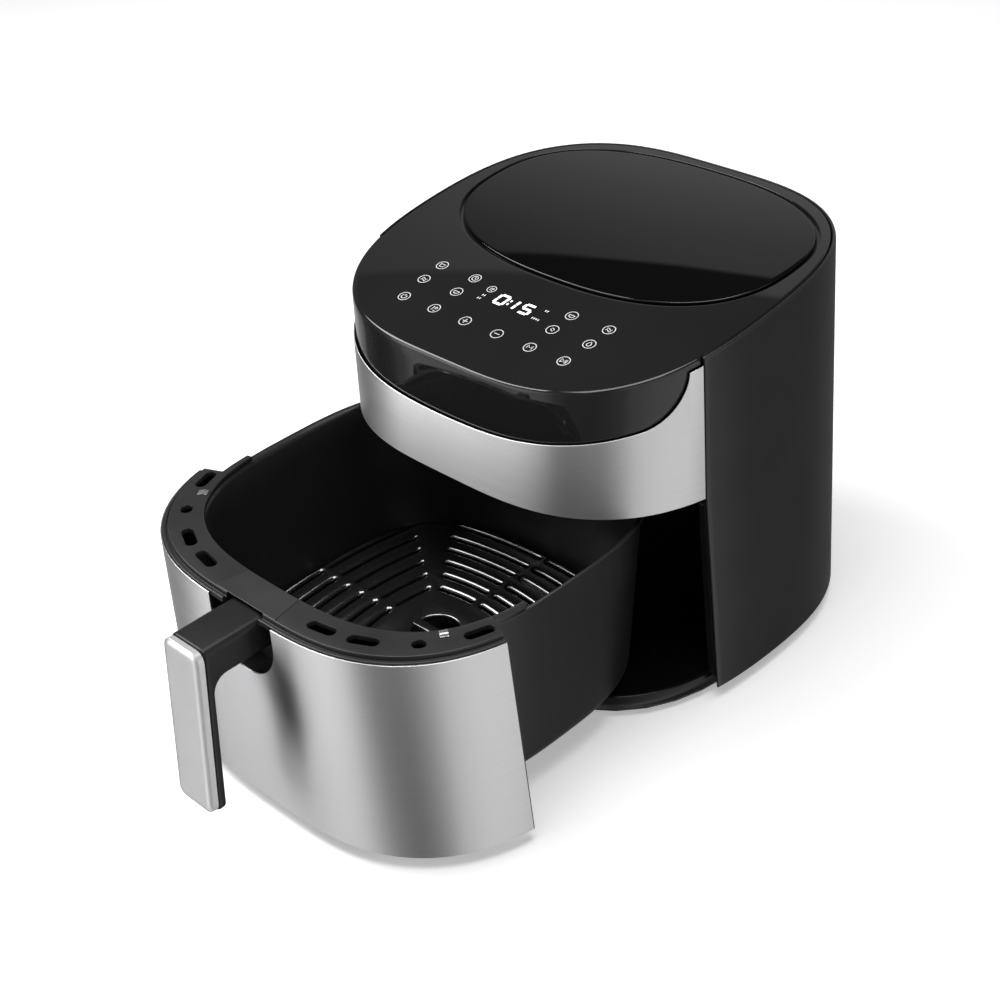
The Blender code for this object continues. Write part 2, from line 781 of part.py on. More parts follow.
def fan_unit(looks, parent):
    """Shaft with the convection fan below, the cooling fan above and the nut; z is counted from the floor."""
    length = SHAFT_TOP - SHAFT_BOTTOM
    cylinder("motor_shaft", SHAFT_RADIUS, length, (0, 0, SHAFT_BOTTOM + length / 2), looks["steel"], parent, sides=20)
    fan_wheel("convection_fan", 52, 189, 8, 9.0, looks["steel"], parent)
    fan_wheel("cooling_fan", 42, 212.5, 7, 6.0, looks["plastic"], parent)
    bore = SHAFT_RADIUS + GAP
    nut = cylinder("fan_nut", 6.2, 4.2, (0, 0, SHAFT_BOTTOM + 2.3), looks["steel"], parent, sides=6)
    cut(nut, cylinder("nut_bore", bore, 20, (0, 0, SHAFT_BOTTOM), parent=parent, sides=20))


def fan_wheel(name, radius, z, blades, height, look, parent):
    """A disc with a hub and upright blades on its lower side."""
    bore = SHAFT_RADIUS + GAP
    profile = [
        (bore, z + 5), (9, z + 5), (9, z + 1.2), (radius, z + 1.2),
        (radius, z), (9, z), (9, z - 0.5), (bore, z - 0.5),
    ]
    wheel = turned(name, profile, look, parent, ring=True)
    for index in range(blades):
        turn = 2 * math.pi * index / blades
        bm = bmesh.new()
        bmesh.ops.create_cube(bm, size=1.0)
        bmesh.ops.scale(bm, vec=(radius * 0.62, 1.2, height), verts=bm.verts)
        bmesh.ops.rotate(bm, matrix=Matrix.Rotation(math.radians(24), 3, "Z"), verts=bm.verts)
        bmesh.ops.translate(bm, vec=(radius * 0.64, 0, z + 0.6 + height / 2), verts=bm.verts)
        bmesh.ops.rotate(bm, matrix=Matrix.Rotation(turn, 3, "Z"), verts=bm.verts)
        join(wheel, mesh_object(f"{name}_blade_{index}", bm, None, parent, smooth=False))
    return wheel


# ---------------------------------------------------------------- drawer

def basket(look, parent):
    """The pan: tapered walls with a rounded foot and an outward flange at the top."""
    loops = [
        pan_oval(PAN_BOTTOM, -PAN_CORNER),
        pan_oval(PAN_BOTTOM + PAN_CORNER * 0.13, -PAN_CORNER * 0.5),
        pan_oval(PAN_BOTTOM + PAN_CORNER * 0.5, -PAN_CORNER * 0.13),
        pan_oval(PAN_BOTTOM + PAN_CORNER),
        pan_oval(90),
        pan_oval(PAN_TOP - PAN_WALL),
        [(x, y, PAN_TOP - PAN_WALL) for x, y, z in pan_oval(PAN_TOP, PAN_FLANGE)],
    ]
    pan = loft("basket", loops, look, parent, start_cap=True)
    return solidify(pan, PAN_WALL)


def rim_section(angle):
    """Section of the vented rim at an angle: inner edge, raised land, groove, outer lip and skirt."""
    outer = PANEL_INSET + PANEL_WALL + GAP
    turn = math.radians(angle)
    inner = pan_radius(angle)
    wall = math.hypot(*wall_point(angle, RIM_TOP, outer)[:2])
    radii = [
        (inner, RIM_BOTTOM), (wall - 4.6, RIM_BOTTOM), (wall - 4.6, RIM_SKIRT), (wall, RIM_SKIRT),
        (wall, RIM_LIP), (wall - 2.2, RIM_LIP), (wall - 2.6, RIM_LIP - 1.0), (wall - 3.4, RIM_LIP - 1.0),
        (wall - 3.8, RIM_TOP), (inner, RIM_TOP),
    ]
    return [(radius * math.sin(turn), -radius * math.cos(turn), z) for radius, z in radii]


def pan_radius(angle):
    """Distance from the body's axis to the pan's inner edge at the rim, found by stepping outwards."""
    turn = math.radians(angle)
    half_width, half_depth = PAN_HALF_WIDTH - PAN_WALL, PAN_HALF_DEPTH - PAN_WALL
    low, high = 50.0, 200.0
    for _ in range(40):
        radius = (low + high) / 2
        x, y = radius * math.sin(turn), -radius * math.cos(turn) - DRAWER_CENTRE
        inside = abs(x / half_width) ** PAN_POWER + abs(y / half_depth) ** PAN_POWER < 1
        low, high = (radius, high) if inside else (low, radius)
    return low


def drawer_frame(look, parent):
    """Crescent rim across the front of the pan, pierced with air vents."""
    angles = front_angles(BACKING_END - 0.2)
    loops = [rim_section(angle) for angle in angles]
    frame = loft("drawer_frame", loops, look, parent, start_cap=True, end_cap=True, solid=True)
    for side in (-1, 1):
        for angle, length in zip(VENT_ANGLES, VENT_LENGTHS):
            cut(frame, vent_cutter(side * angle, length, parent))
    width = 2 * ARM_HALF + 1.2
    return cut(frame, box("arm_gap", (width, 40, 30), (0, ARM_REAR + 0.6 - 20, RIM_TOP), parent=parent))


def vent_cutter(angle, length, parent):
    """A slot with round ends that follows the rim's direction."""
    outer = math.hypot(*wall_point(angle, RIM_TOP)[:2])
    radius = (outer - 5.0 + pan_radius(angle)) / 2
    turn = math.radians(angle)
    centre = Vector((radius * math.sin(turn), -radius * math.cos(turn), RIM_TOP))
    ahead = Vector(wall_point(angle + 1, RIM_TOP)) - Vector(wall_point(angle - 1, RIM_TOP))
    heading = math.atan2(ahead.y, ahead.x)
    straight, end = (length - VENT_WIDTH) / 2, VENT_WIDTH / 2
    outline = []
    for index in range(6):
        around = -math.pi / 2 + math.pi * index / 5
        outline.append((straight + end * math.cos(around), end * math.sin(around)))
    outline += [(-x, -y) for x, y in outline]
    spin = Matrix.Rotation(heading, 2)
    moved = [spin @ Vector(point) + centre.xy for point in outline]
    return slab(f"vent_{angle}", [tuple(point) for point in moved], RIM_SKIRT - 5, RIM_TOP + 5, None, parent)


def panel_wall(name, end, low, high, inset, thickness, look, parent):
    """A skin of the drawer front, whose ends follow the seam."""
    angles = front_angles(end)
    loops = []
    for z in (low, (low + high) / 2, high):
        stretch = seam_angle(z, end) / end
        loops.append([wall_point(angle * stretch, z, inset) for angle in angles])
    return solidify(loft(name, loops, look, parent, closed=False), thickness)


def notch_cutter(name, half, low, parent):
    """U-shaped cutter for the place where the handle's arm passes the drawer front."""
    outline = [(half, PAN_TOP + 20), (-half, PAN_TOP + 20)]
    for index in range(13):
        around = math.pi + math.pi * index / 12
        outline.append((half * math.cos(around), low + half + half * math.sin(around)))
    return slab(name, outline, -160, -124, None, parent, axis="Y")


def front_panel(look, parent):
    """Brushed steel skin of the drawer front."""
    panel = panel_wall("front_panel", PANEL_END, PANEL_BOTTOM, PANEL_TOP, PANEL_INSET, PANEL_WALL, look, parent)
    return cut(panel, notch_cutter("panel_notch", NOTCH_HALF, NOTCH_BOTTOM, parent))


def panel_backing(look, parent):
    """Black carrier behind the steel skin; it shows as a thin line at the skin's foot and ends."""
    inset = PANEL_INSET + PANEL_WALL + GAP
    top = RIM_SKIRT - GAP
    backing = panel_wall("panel_backing", BACKING_END, BACKING_BOTTOM, top, inset, BACKING_WALL, look, parent)
    return cut(backing, notch_cutter("backing_notch", NOTCH_HALF + POCKET_WALL, NOTCH_BOTTOM - POCKET_WALL, parent))


def handle_pocket(look, parent):
    """U-shaped cup that closes the notch behind the arm."""
    half, low, top = NOTCH_HALF, NOTCH_BOTTOM, RIM_SKIRT - GAP
    front = wall_point(0, NOTCH_BOTTOM, PANEL_INSET + PANEL_WALL + GAP)[1] + 1.2

    def outline(shrink):
        points = [(half - shrink, top), (-half + shrink, top)]
        for index in range(13):
            around = math.pi + math.pi * index / 12
            points.append(((half - shrink) * math.cos(around), low + half + (half - shrink) * math.sin(around)))
        return points

    cup = slab("handle_pocket", outline(-POCKET_WALL + GAP), front, POCKET_REAR, look, parent, axis="Y")
    hollow = [(x, z + (8 if z == top else 0)) for x, z in outline(GAP)]
    cut(cup, slab("pocket_hollow", hollow, front - 8, POCKET_REAR - POCKET_WALL, None, parent, axis="Y"))
    for index, x in enumerate((-10, 10)):
        cut(cup, cylinder(f"pocket_hole_{index}", 2.2, 12, (x, POCKET_REAR, ARM_SCREW_Z), parent=parent, axis="Y", sides=16))
    return cup


def handle_outline():
    """Side view of the arm and the grip's back as (y, z) points, with a round inner corner."""
    lean = (GRIP_TOP_Y - GRIP_BOTTOM_Y) / (ARM_TOP - GRIP_BOTTOM)
    back_y = GRIP_TOP_Y + GRIP_BACK
    points = [(ARM_REAR, ARM_TOP), (GRIP_TOP_Y, ARM_TOP), (GRIP_BOTTOM_Y, GRIP_BOTTOM)]
    points.append((GRIP_BOTTOM_Y + GRIP_BACK, GRIP_BOTTOM))
    low = ARM_BOTTOM - GRIP_CORNER
    start_y = back_y - lean * (ARM_TOP - low)
    for index in range(8):
        turn = math.pi - math.pi / 2 * index / 7
        y = start_y + GRIP_CORNER * (1 + math.cos(turn))
        z = low + GRIP_CORNER * math.sin(turn)
        points.append((y, z))
    points.append((ARM_REAR, ARM_BOTTOM))
    return points


def handle(looks, parent):
    """Arm and grip in one moulding, and the silver plate on the grip's face."""
    arm = slab("handle", handle_outline(), -ARM_HALF, ARM_HALF, looks["plastic"], parent, axis="X")
    bevel(arm, 2.4, 2)
    for index, x in enumerate((-10, 10)):
        cut(arm, cylinder(f"arm_hole_{index}", 2.2, 30, (x, ARM_REAR, ARM_SCREW_Z), parent=parent, axis="Y", sides=16))
    height = ARM_TOP - GRIP_BOTTOM
    tilt = -math.degrees(math.atan((GRIP_TOP_Y - GRIP_BOTTOM_Y) / height))
    centre = (0, (GRIP_TOP_Y + GRIP_BOTTOM_Y) / 2 - GRIP_PLATE / 2 - GAP, (ARM_TOP + GRIP_BOTTOM) / 2)
    plate = box("grip_plate", (2 * GRIP_HALF, GRIP_PLATE, height), centre, looks["silver"], parent, tilt)
    bevel(plate, 2.4, 2)


def handle_screws(look, parent):
    """Screws from behind the pocket into the arm."""
    for index, x in enumerate((-10, 10), start=1):
        profile = [(0, 3.0), (2.8, 3.0), (3.8, 2.0), (3.8, GAP), (1.8, GAP), (1.8, -9), (0, -9)]
        screw = turned(f"handle_screw_{index}", profile, look, parent, steps=16)
        screw.location = (x * MM, POCKET_REAR * MM, ARM_SCREW_Z * MM)
        screw.rotation_euler = (math.radians(-90), 0, 0)


def handle_bridge(look, parent):
    """Flat cover on the rim over the arm's root."""
    outer = wall_point(0, RIM_TOP, 5.8)[1]
    outline = [(-27, outer + 1), (27, outer + 1), (24, -113), (-24, -113)]
    bridge = slab("handle_bridge", outline, RIM_TOP + GAP, RIM_TOP + 2.0, look, parent)
    return bevel(bridge, 0.6, 1)


def rim_clips(look, parent):
    """Small spring clips at the rim's inner edge that hold the crisper plate down when food is tipped out."""
    for name, angle in (("rim_clip_left", -56.0), ("rim_clip_right", 56.0)):
        radius = pan_radius(angle) + 3.4
        turn = math.radians(angle)
        clip = box(name, (7, 5.5, 1.2), (0, 0, 0), look, parent)
        clip.location = (radius * math.sin(turn) * MM, -radius * math.cos(turn) * MM, (RIM_TOP + 0.9) * MM)
        clip.rotation_euler = (0, 0, turn)


# ---------------------------------------------------------------- crisper plate

def plate_half_sizes(z, gap):
    lean = PAN_TAPER * (PAN_TOP - z)
    inside = PAN_WALL + gap + lean
    return PAN_HALF_WIDTH - inside, PAN_HALF_DEPTH - inside


def crisper_plate(look, parent):
    """Pressed plate with rings of slots and a split finger hole."""
    half_width, half_depth = plate_half_sizes(PLATE_TOP, PLATE_GAP)
    rows = [(PLATE_TOP - PLATE_WALL, 0.0), (PLATE_TOP, 0.0)]
    loops = [oval(half_width + grow, half_depth + grow, DRAWER_CENTRE, PLATE_POWER, z, 40) for z, grow in rows]
    plate = loft("crisper_plate", loops, look, parent, start_cap=True, end_cap=True)
    for ring in range(1, PLATE_RINGS + 1):
        share = 0.235 + 0.635 * (ring - 1) / (PLATE_RINGS - 1)
        for side in range(4):
            reach = (half_width, half_depth)[side % 2 == 0] * share
            span = (half_depth, half_width)[side % 2 == 0] * share
            cut(plate, slot_cutter(f"slot_{ring}_{side}", side, reach, PLATE_BAR, span * 0.80, parent))
    for side in (-1, 1):
        cut(plate, half_hole(side, parent))
    return plate


def slot_cutter(name, side, reach, start, end, parent):
    """Two bowed slots, one each side of a mid-line, as one cutter of two bodies."""
    bm = bmesh.new()
    for half in (-1, 1):
        outline = []
        for edge, order in ((1.6, 1), (-1.6, -1)):
            for step in (0, 1, 2)[::order]:
                along = start + (end - start) * step / 2
                bow = 0.14 * reach * (1 - (along / max(reach, 1)) ** 2)
                outline.append((half * along, -(reach - 3 + bow + edge)))
        face = bm.faces.new([bm.verts.new((x, y, PLATE_TOP - 6)) for x, y in outline])
        swept = bmesh.ops.extrude_face_region(bm, geom=[face])
        moved = [item for item in swept["geom"] if isinstance(item, bmesh.types.BMVert)]
        bmesh.ops.translate(bm, vec=(0, 0, 12), verts=moved)
    bmesh.ops.rotate(bm, matrix=Matrix.Rotation(math.pi / 2 * side, 3, "Z"), verts=bm.verts)
    bmesh.ops.translate(bm, vec=(0, DRAWER_CENTRE, 0), verts=bm.verts)
    bmesh.ops.recalc_face_normals(bm, faces=bm.faces)
    return mesh_object(name, bm, None, parent, smooth=False)


def half_hole(side, parent):
    """Half of the round finger hole, on one side of the bar."""
    outline = []
    for index in range(11):
        turn = math.radians(16 + 148 * index / 10)
        outline.append((FINGER_HOLE * math.cos(turn), DRAWER_CENTRE + side * FINGER_HOLE * math.sin(turn)))
    return slab(f"finger_hole_{side}", outline, PLATE_TOP - 6, PLATE_TOP + 6, None, parent)


def plate_bumpers(look, parent):
    """Silicone blocks under the plate's corners that stand on the pan's floor."""
    half_width, half_depth = plate_half_sizes(PLATE_TOP, PLATE_GAP)
    low, high = PAN_BOTTOM + PAN_WALL + GAP, PLATE_TOP - PLATE_WALL - GAP
    corners = [(-1, -1), (1, -1), (-1, 1), (1, 1)]
    for index, (side, end) in enumerate(corners, start=1):
        centre = (side * half_width * 0.66, DRAWER_CENTRE + end * half_depth * 0.66, (low + high) / 2)
        bumper = box(f"plate_bumper_{index}", (14, 14, high - low), centre, look, parent)
        bevel(bumper, 2.0, 1)


# ---------------------------------------------------------------- assembly

def make_looks():
    return {
        "satin": material("satin_black", (0.018, 0.018, 0.019), 0.45),
        "gloss": material("gloss_black", (0.006, 0.006, 0.007), 0.06),
        "plastic": material("dark_plastic", (0.045, 0.045, 0.048), 0.40),
        "bridge": material("grey_plastic", (0.14, 0.14, 0.145), 0.45),
        "brushed": material("brushed_steel", (0.60, 0.60, 0.61), 0.30, 1.0),
        "silver": material("silver_grip", (0.52, 0.52, 0.53), 0.38, 0.8),
        "steel": material("plain_steel", (0.50, 0.50, 0.51), 0.35, 1.0),
        "liner": material("grey_liner", (0.09, 0.09, 0.095), 0.40, 0.5),
        "nonstick": material("non_stick", (0.012, 0.012, 0.013), 0.30),
        "rubber": material("black_rubber", (0.02, 0.02, 0.02), 0.8),
        "element": material("element_steel", (0.16, 0.14, 0.13), 0.45, 1.0),
        "board": material("circuit_board", (0.02, 0.10, 0.05), 0.5),
        "glass": material("display_glass", (0.02, 0.02, 0.025), 0.1),
        "ceramic": material("white_ceramic", (0.7, 0.7, 0.68), 0.5),
    }


def build_housing(looks, root):
    outer_shell(looks["satin"], root)
    base_tray(looks["satin"], root)
    base_cover(looks["satin"], root)
    feet(looks["rubber"], root)
    base_screws(looks["steel"], root)
    front_frame(looks["plastic"], root)
    steel_band(looks["brushed"], root)
    top_hood(looks["gloss"], root)
    lid_panel(looks["gloss"], root)
    control_board(looks, root)
    power_board(looks["board"], root)
    rear_grille(looks["plastic"], root)
    exhaust_duct(looks["steel"], root)
    cord_inlet(looks["rubber"], root)
    cavity_liner(looks["liner"], root)
    drawer_rails(looks["plastic"], root)
    switch_body(looks["plastic"], root)


def build_hot_air_unit(looks, unit):
    chamber_top(looks["steel"], unit)
    heating_element(looks["element"], unit)
    element_clips(looks["steel"], unit)
    heater_guard(looks["steel"], unit)
    heat_shield(looks["steel"], unit)
    motor(looks, unit)
    sensors(looks, unit)


def build_drawer(looks, drawer):
    basket(looks["nonstick"], drawer)
    drawer_frame(looks["plastic"], drawer)
    front_panel(looks["brushed"], drawer)
    panel_backing(looks["satin"], drawer)
    handle_pocket(looks["plastic"], drawer)
    handle(looks, drawer)
    handle_screws(looks["steel"], drawer)
    handle_bridge(looks["bridge"], drawer)
    rim_clips(looks["steel"], drawer)


def main():
    global PARTS, CUTTERS
    clear_scene()
    PARTS = make_collection("air_fryer")
    CUTTERS = make_collection("cutters")
    CUTTERS.hide_render = True
    looks = make_looks()
    root = empty("air_fryer", (0, ORIGIN_Y, 0))
    build_housing(looks, root)
    hot_air = empty("hot_air_unit", (0, AXIS_Y, 0), root)
    build_hot_air_unit(looks, hot_air)
    fan_unit(looks, empty("fan_axis", (0, AXIS_Y, 0), root))
    drawer = empty("drawer_slide", (0, -DRAWER_OPEN, 0), root)
    build_drawer(looks, drawer)
    lift = empty("plate_lift", (0, 0, 0), drawer)
    crisper_plate(looks["nonstick"], lift)
    plate_bumpers(looks["rubber"], lift)
    switch_plunger(looks["plastic"], empty("switch_plunger_slide", SWITCH_PLACE, root))


main()
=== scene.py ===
"""Looks of the basket air fryer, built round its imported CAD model.

Sizes are in millimetres in the housing's own frame: x = 0 is the plane of symmetry, y = 0 the body's
axis, z = 0 the floor, and the front faces -Y. Drawer pieces are drawn at their closed place and shifted by
how far the drawer stands open. Angles of the plan are in degrees from the front towards +X.
"""

import json
import math

import bmesh
import bpy
from mathutils import Matrix, Vector

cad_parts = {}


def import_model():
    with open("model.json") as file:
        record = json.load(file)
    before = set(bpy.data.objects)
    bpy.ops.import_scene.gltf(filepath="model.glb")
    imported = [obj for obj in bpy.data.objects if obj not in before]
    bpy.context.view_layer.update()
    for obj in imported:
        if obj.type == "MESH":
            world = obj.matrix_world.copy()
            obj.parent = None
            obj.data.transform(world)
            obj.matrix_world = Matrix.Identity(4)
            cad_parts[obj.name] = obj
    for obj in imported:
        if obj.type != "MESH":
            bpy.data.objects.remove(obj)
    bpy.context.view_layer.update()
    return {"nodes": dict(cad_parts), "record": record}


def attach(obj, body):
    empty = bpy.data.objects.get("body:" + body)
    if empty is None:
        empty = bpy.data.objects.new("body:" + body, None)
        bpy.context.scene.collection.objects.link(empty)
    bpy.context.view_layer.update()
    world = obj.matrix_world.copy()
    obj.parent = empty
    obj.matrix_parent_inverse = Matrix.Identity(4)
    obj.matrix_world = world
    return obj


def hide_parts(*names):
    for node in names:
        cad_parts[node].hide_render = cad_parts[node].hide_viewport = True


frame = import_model()

MM = 0.001
ORIGIN_Y = 109.045
DRAWER_OPEN = 170.0

# Body, as in the CAD model
PLAN_RADIUS = 148.0
PLAN_TWO_LOBE = 0.029
PLAN_FOUR_LOBE = 0.050
TAPER = 0.039
SHELL_BOTTOM = 9.0
TOP_HEIGHT = 261.7
TOP_SLOPE = 0.1143
TOP_CROWN = 6.2
HALF_WIDTH = 145.0
SEAM = 68.0
SEAM_SLANT = 2.6
SHELL_WALL = 2.2
BASE_INSET = 8.5
SILL_TOP = 16.5
BASE_FLOOR = 13.5
BAND_BOTTOM = 159.0
BAND_TOP = 202.5
BAND_SAG = 14.0
HORN_START = 52.5
HORN_END = 64.1
HORN_RISE = 26.4
HOOD_EDGE = 3.2
LID_HALF_WIDTH = 128.5
LID_HALF_DEPTH = 83.5
LID_POWER = 2.45
LID_CENTRE = 43.0
LID_GROOVE = 2.4
LID_SHELF = 2.6
GRILLE_WINDOW = (70.8, 24.8, 228.0)
INLET_HOLE = (7.4, 32.0)

# Drawer, as in the CAD model
DRAWER_CENTRE = 7.5
PAN_HALF_WIDTH = 125.5
PAN_HALF_DEPTH = 119.0
PAN_POWER = 3.0
PAN_WALL = 1.5
PAN_TOP = 151.0
PAN_BOTTOM = 17.6
PAN_TAPER = 0.083
PAN_CORNER = 14.0
PAN_FLANGE = 3.0
RIM_BOTTOM = 151.3
RIM_TOP = 154.5
RIM_LIP = 152.6
RIM_SKIRT = 149.0
PANEL_TOP = 151.5
PANEL_BOTTOM = 9.6
PANEL_END = 66.9
BACKING_END = 67.3
BACKING_BOTTOM = 8.4
NOTCH_HALF = 28.5
NOTCH_BOTTOM = 109.0
ARM_TOP = 151.5
ARM_BOTTOM = 128.0
ARM_HALF = 16.0
ARM_REAR = -123.4
GRIP_TOP_Y = -174.8
GRIP_BOTTOM_Y = -185.6
GRIP_BOTTOM = 38.5
GRIP_BACK = 6.4
GRIP_PLATE = 5.6
GRIP_HALF = 16.5
GRIP_CORNER = 10.0
VENTS = ((24.0, 19.5), (35.5, 19.5), (48.5, 8.5), (62.5, 18.5))
VENT_WIDTH = 7.4
EAR_START = 66.6
EAR_END = 77.0
POCKET_REAR = -121.4
PLATE_TOP = 50.0
PLATE_GAP = 2.2
PLATE_BAR = 4.2
PLATE_POWER = 3.2
FINGER_HOLE = 17.0

HOUSING = "housing"
DRAWER = "drawer"
PLATE = "plate"


# Node helpers

def add_node(tree, kind, **values):
    made = tree.nodes.new(kind)
    for name, value in values.items():
        setattr(made, name, value)
    return made


class Look:
    """A node-based material and short calls that add nodes to it."""

    def __init__(self, name, colour, roughness, metallic=0.0):
        self.name = name
        self.material = bpy.data.materials.new(name)
        self.material.use_nodes = True
        self.tree = self.material.node_tree
        self.shader = self.tree.nodes["Principled BSDF"]
        self.put("Base Color", (*colour, 1.0))
        self.put("Roughness", roughness)
        self.put("Metallic", metallic)

    def put(self, name, value):
        self.shader.inputs[name].default_value = value

    def link(self, start, end):
        self.tree.links.new(start, end)

    def node(self, kind, **values):
        return add_node(self.tree, kind, **values)

    def place(self, scale=(1.0, 1.0, 1.0), uv=False):
        """Position on the piece in metres, or its flow map, times a scale."""
        source = self.node("ShaderNodeTexCoord")
        mapping = self.node("ShaderNodeMapping")
        mapping.inputs["Scale"].default_value = scale
        self.link(source.outputs["UV" if uv else "Object"], mapping.inputs["Vector"])
        return mapping.outputs["Vector"]

    def noise(self, scale, detail=2.0, place=None, roughness=0.5):
        texture = self.node("ShaderNodeTexNoise")
        texture.inputs["Scale"].default_value = scale
        texture.inputs["Detail"].default_value = detail
        texture.inputs["Roughness"].default_value = roughness
        self.link(place if place else self.place(), texture.inputs["Vector"])
        return texture.outputs["Fac"]

    def ranged(self, value, low=0.0, high=1.0, start=0.3, end=0.7):
        """A 0 to 1 pattern's middle part, stretched to run from low to high."""
        ramp = self.node("ShaderNodeMapRange")
        ramp.inputs["From Min"].default_value = start
        ramp.inputs["From Max"].default_value = end
        ramp.inputs["To Min"].default_value = low
        ramp.inputs["To Max"].default_value = high
        self.link(value, ramp.inputs["Value"])
        return ramp.outputs["Result"]

    def colour(self, share, first, second):
        """Base colour that goes from first to second with a share from 0 to 1."""
        mix = self.node("ShaderNodeMix", data_type="RGBA")
        self.link(share, mix.inputs["Factor"])
        mix.inputs[6].default_value = (*first, 1.0)
        mix.inputs[7].default_value = (*second, 1.0)
        self.link(mix.outputs[2], self.shader.inputs["Base Color"])

    def rough(self, value):
        self.link(value, self.shader.inputs["Roughness"])

    def bump(self, height, strength, distance):
        bump = self.node("ShaderNodeBump")
        bump.inputs["Strength"].default_value = strength
        bump.inputs["Distance"].default_value = distance
        self.link(height, bump.inputs["Height"])
        self.link(bump.outputs["Normal"], self.shader.inputs["Normal"])


def moulded(name, dark, light, roughness, grain=2600.0, strength=0.12):
    """Moulded plastic: fine spark-eroded grain, and gloss that varies slowly over the surface."""
    look = Look(name, dark, roughness)
    slow = look.noise(18.0, 3.0)
    look.colour(look.ranged(slow), dark, light)
    look.rough(look.ranged(slow, roughness - 0.03, roughness + 0.04))
    look.bump(look.noise(grain, 2.0), strength, 0.00006)
    return look


def brushed(name, dark, light, roughness):
    """Steel with long fine scratches that follow the piece's flow map."""
    across, along = 5200.0, 14.0
    look = Look(name, light, roughness, 1.0)
    fine = look.noise(1.0, 3.0, look.place((along, across, 1.0), uv=True), 0.6)
    broad = look.noise(1.0, 2.0, look.place((along * 0.5, across * 0.12, 1.0), uv=True))
    look.colour(look.ranged(fine, 0.0, 1.0, 0.25, 0.75), dark, light)
    look.rough(look.ranged(broad, roughness - 0.015, roughness + 0.015))
    look.bump(fine, 0.03, 0.00002)
    look.put("Anisotropic", 0.93)
    look.put("Anisotropic Rotation", 0.25)
    tangent = look.node("ShaderNodeTangent", direction_type="UV_MAP", uv_map="flow")
    look.link(tangent.outputs["Tangent"], look.shader.inputs["Tangent"])
    return look


def gloss_black(name, tone):
    """Polished black plastic with a slow waviness."""
    look = Look(name, (tone, tone, tone), 0.045)
    slow = look.noise(9.0, 2.0)
    look.rough(look.ranged(slow, 0.012, 0.03))
    look.colour(look.ranged(slow), (tone, tone, tone), (tone * 1.25, tone * 1.25, tone * 1.28))
    look.bump(look.noise(60.0, 1.0), 0.006, 0.0004)
    return look


def non_stick(name, roughness, coat, coat_index):
    """Speckled non-stick coating, with or without a glossy top coat."""
    look = Look(name, (0.010, 0.010, 0.011), roughness)
    speck = look.noise(900.0, 3.0)
    look.colour(look.ranged(speck), (0.009, 0.009, 0.010), (0.016, 0.016, 0.017))
    look.rough(look.ranged(look.noise(22.0, 3.0), roughness - 0.04, roughness + 0.06))
    look.bump(look.noise(1500.0, 2.0), 0.10, 0.00006)
    look.put("Coat Weight", coat)
    look.put("Coat Roughness", 0.15)
    look.put("Coat IOR", coat_index)
    return look


def plain_metal(name, colour, roughness, metallic=1.0):
    look = Look(name, colour, roughness, metallic)
    rolled = look.noise(1.0, 3.0, look.place((40.0, 900.0, 40.0)))
    lighter = tuple(min(1.0, value * 1.18) for value in colour)
    look.colour(look.ranged(rolled), tuple(value * 0.86 for value in colour), lighter)
    look.rough(look.ranged(look.noise(60.0, 3.0), roughness - 0.06, roughness + 0.08))
    look.bump(rolled, 0.08, 0.00003)
    return look


def silver_paint():
    look = Look("silver_grip", (0.80, 0.80, 0.81), 0.36, 0.7)
    flake = look.node("ShaderNodeTexVoronoi")
    flake.inputs["Scale"].default_value = 2400.0
    look.link(look.place(), flake.inputs["Vector"])
    look.colour(flake.outputs["Distance"], (0.88, 0.88, 0.89), (0.74, 0.74, 0.75))
    look.rough(look.ranged(look.noise(40.0, 2.0), 0.32, 0.40))
    look.bump(look.noise(1800.0, 2.0), 0.05, 0.00003)
    return look


def circuit_board():
    look = Look("circuit_board", (0.03, 0.12, 0.06), 0.35)
    tracks = look.node("ShaderNodeTexBrick")
    tracks.inputs["Scale"].default_value = 260.0
    tracks.inputs["Color1"].default_value = (0.02, 0.10, 0.05, 1.0)
    tracks.inputs["Color2"].default_value = (0.03, 0.14, 0.07, 1.0)
    tracks.inputs["Mortar"].default_value = (0.10, 0.26, 0.12, 1.0)
    look.link(look.place(), tracks.inputs["Vector"])
    look.link(tracks.outputs["Color"], look.shader.inputs["Base Color"])
    look.bump(tracks.outputs["Fac"], 0.2, 0.00005)
    look.put("Coat Weight", 0.5)
    return look


def lit(name, colour, strength):
    """Printed or lit marks: a pale ink with a faint light. On the display's digits this is the display's own
    light; on the printed icons it is a painted glow that brightens the ink.
    """
    look = Look(name, colour, 0.5)
    cloud = look.noise(700.0, 1.0)
    look.colour(look.ranged(cloud), tuple(value * 0.9 for value in colour), colour)
    look.put("Emission Color", (*colour, 1.0))
    look.put("Emission Strength", strength)
    return look


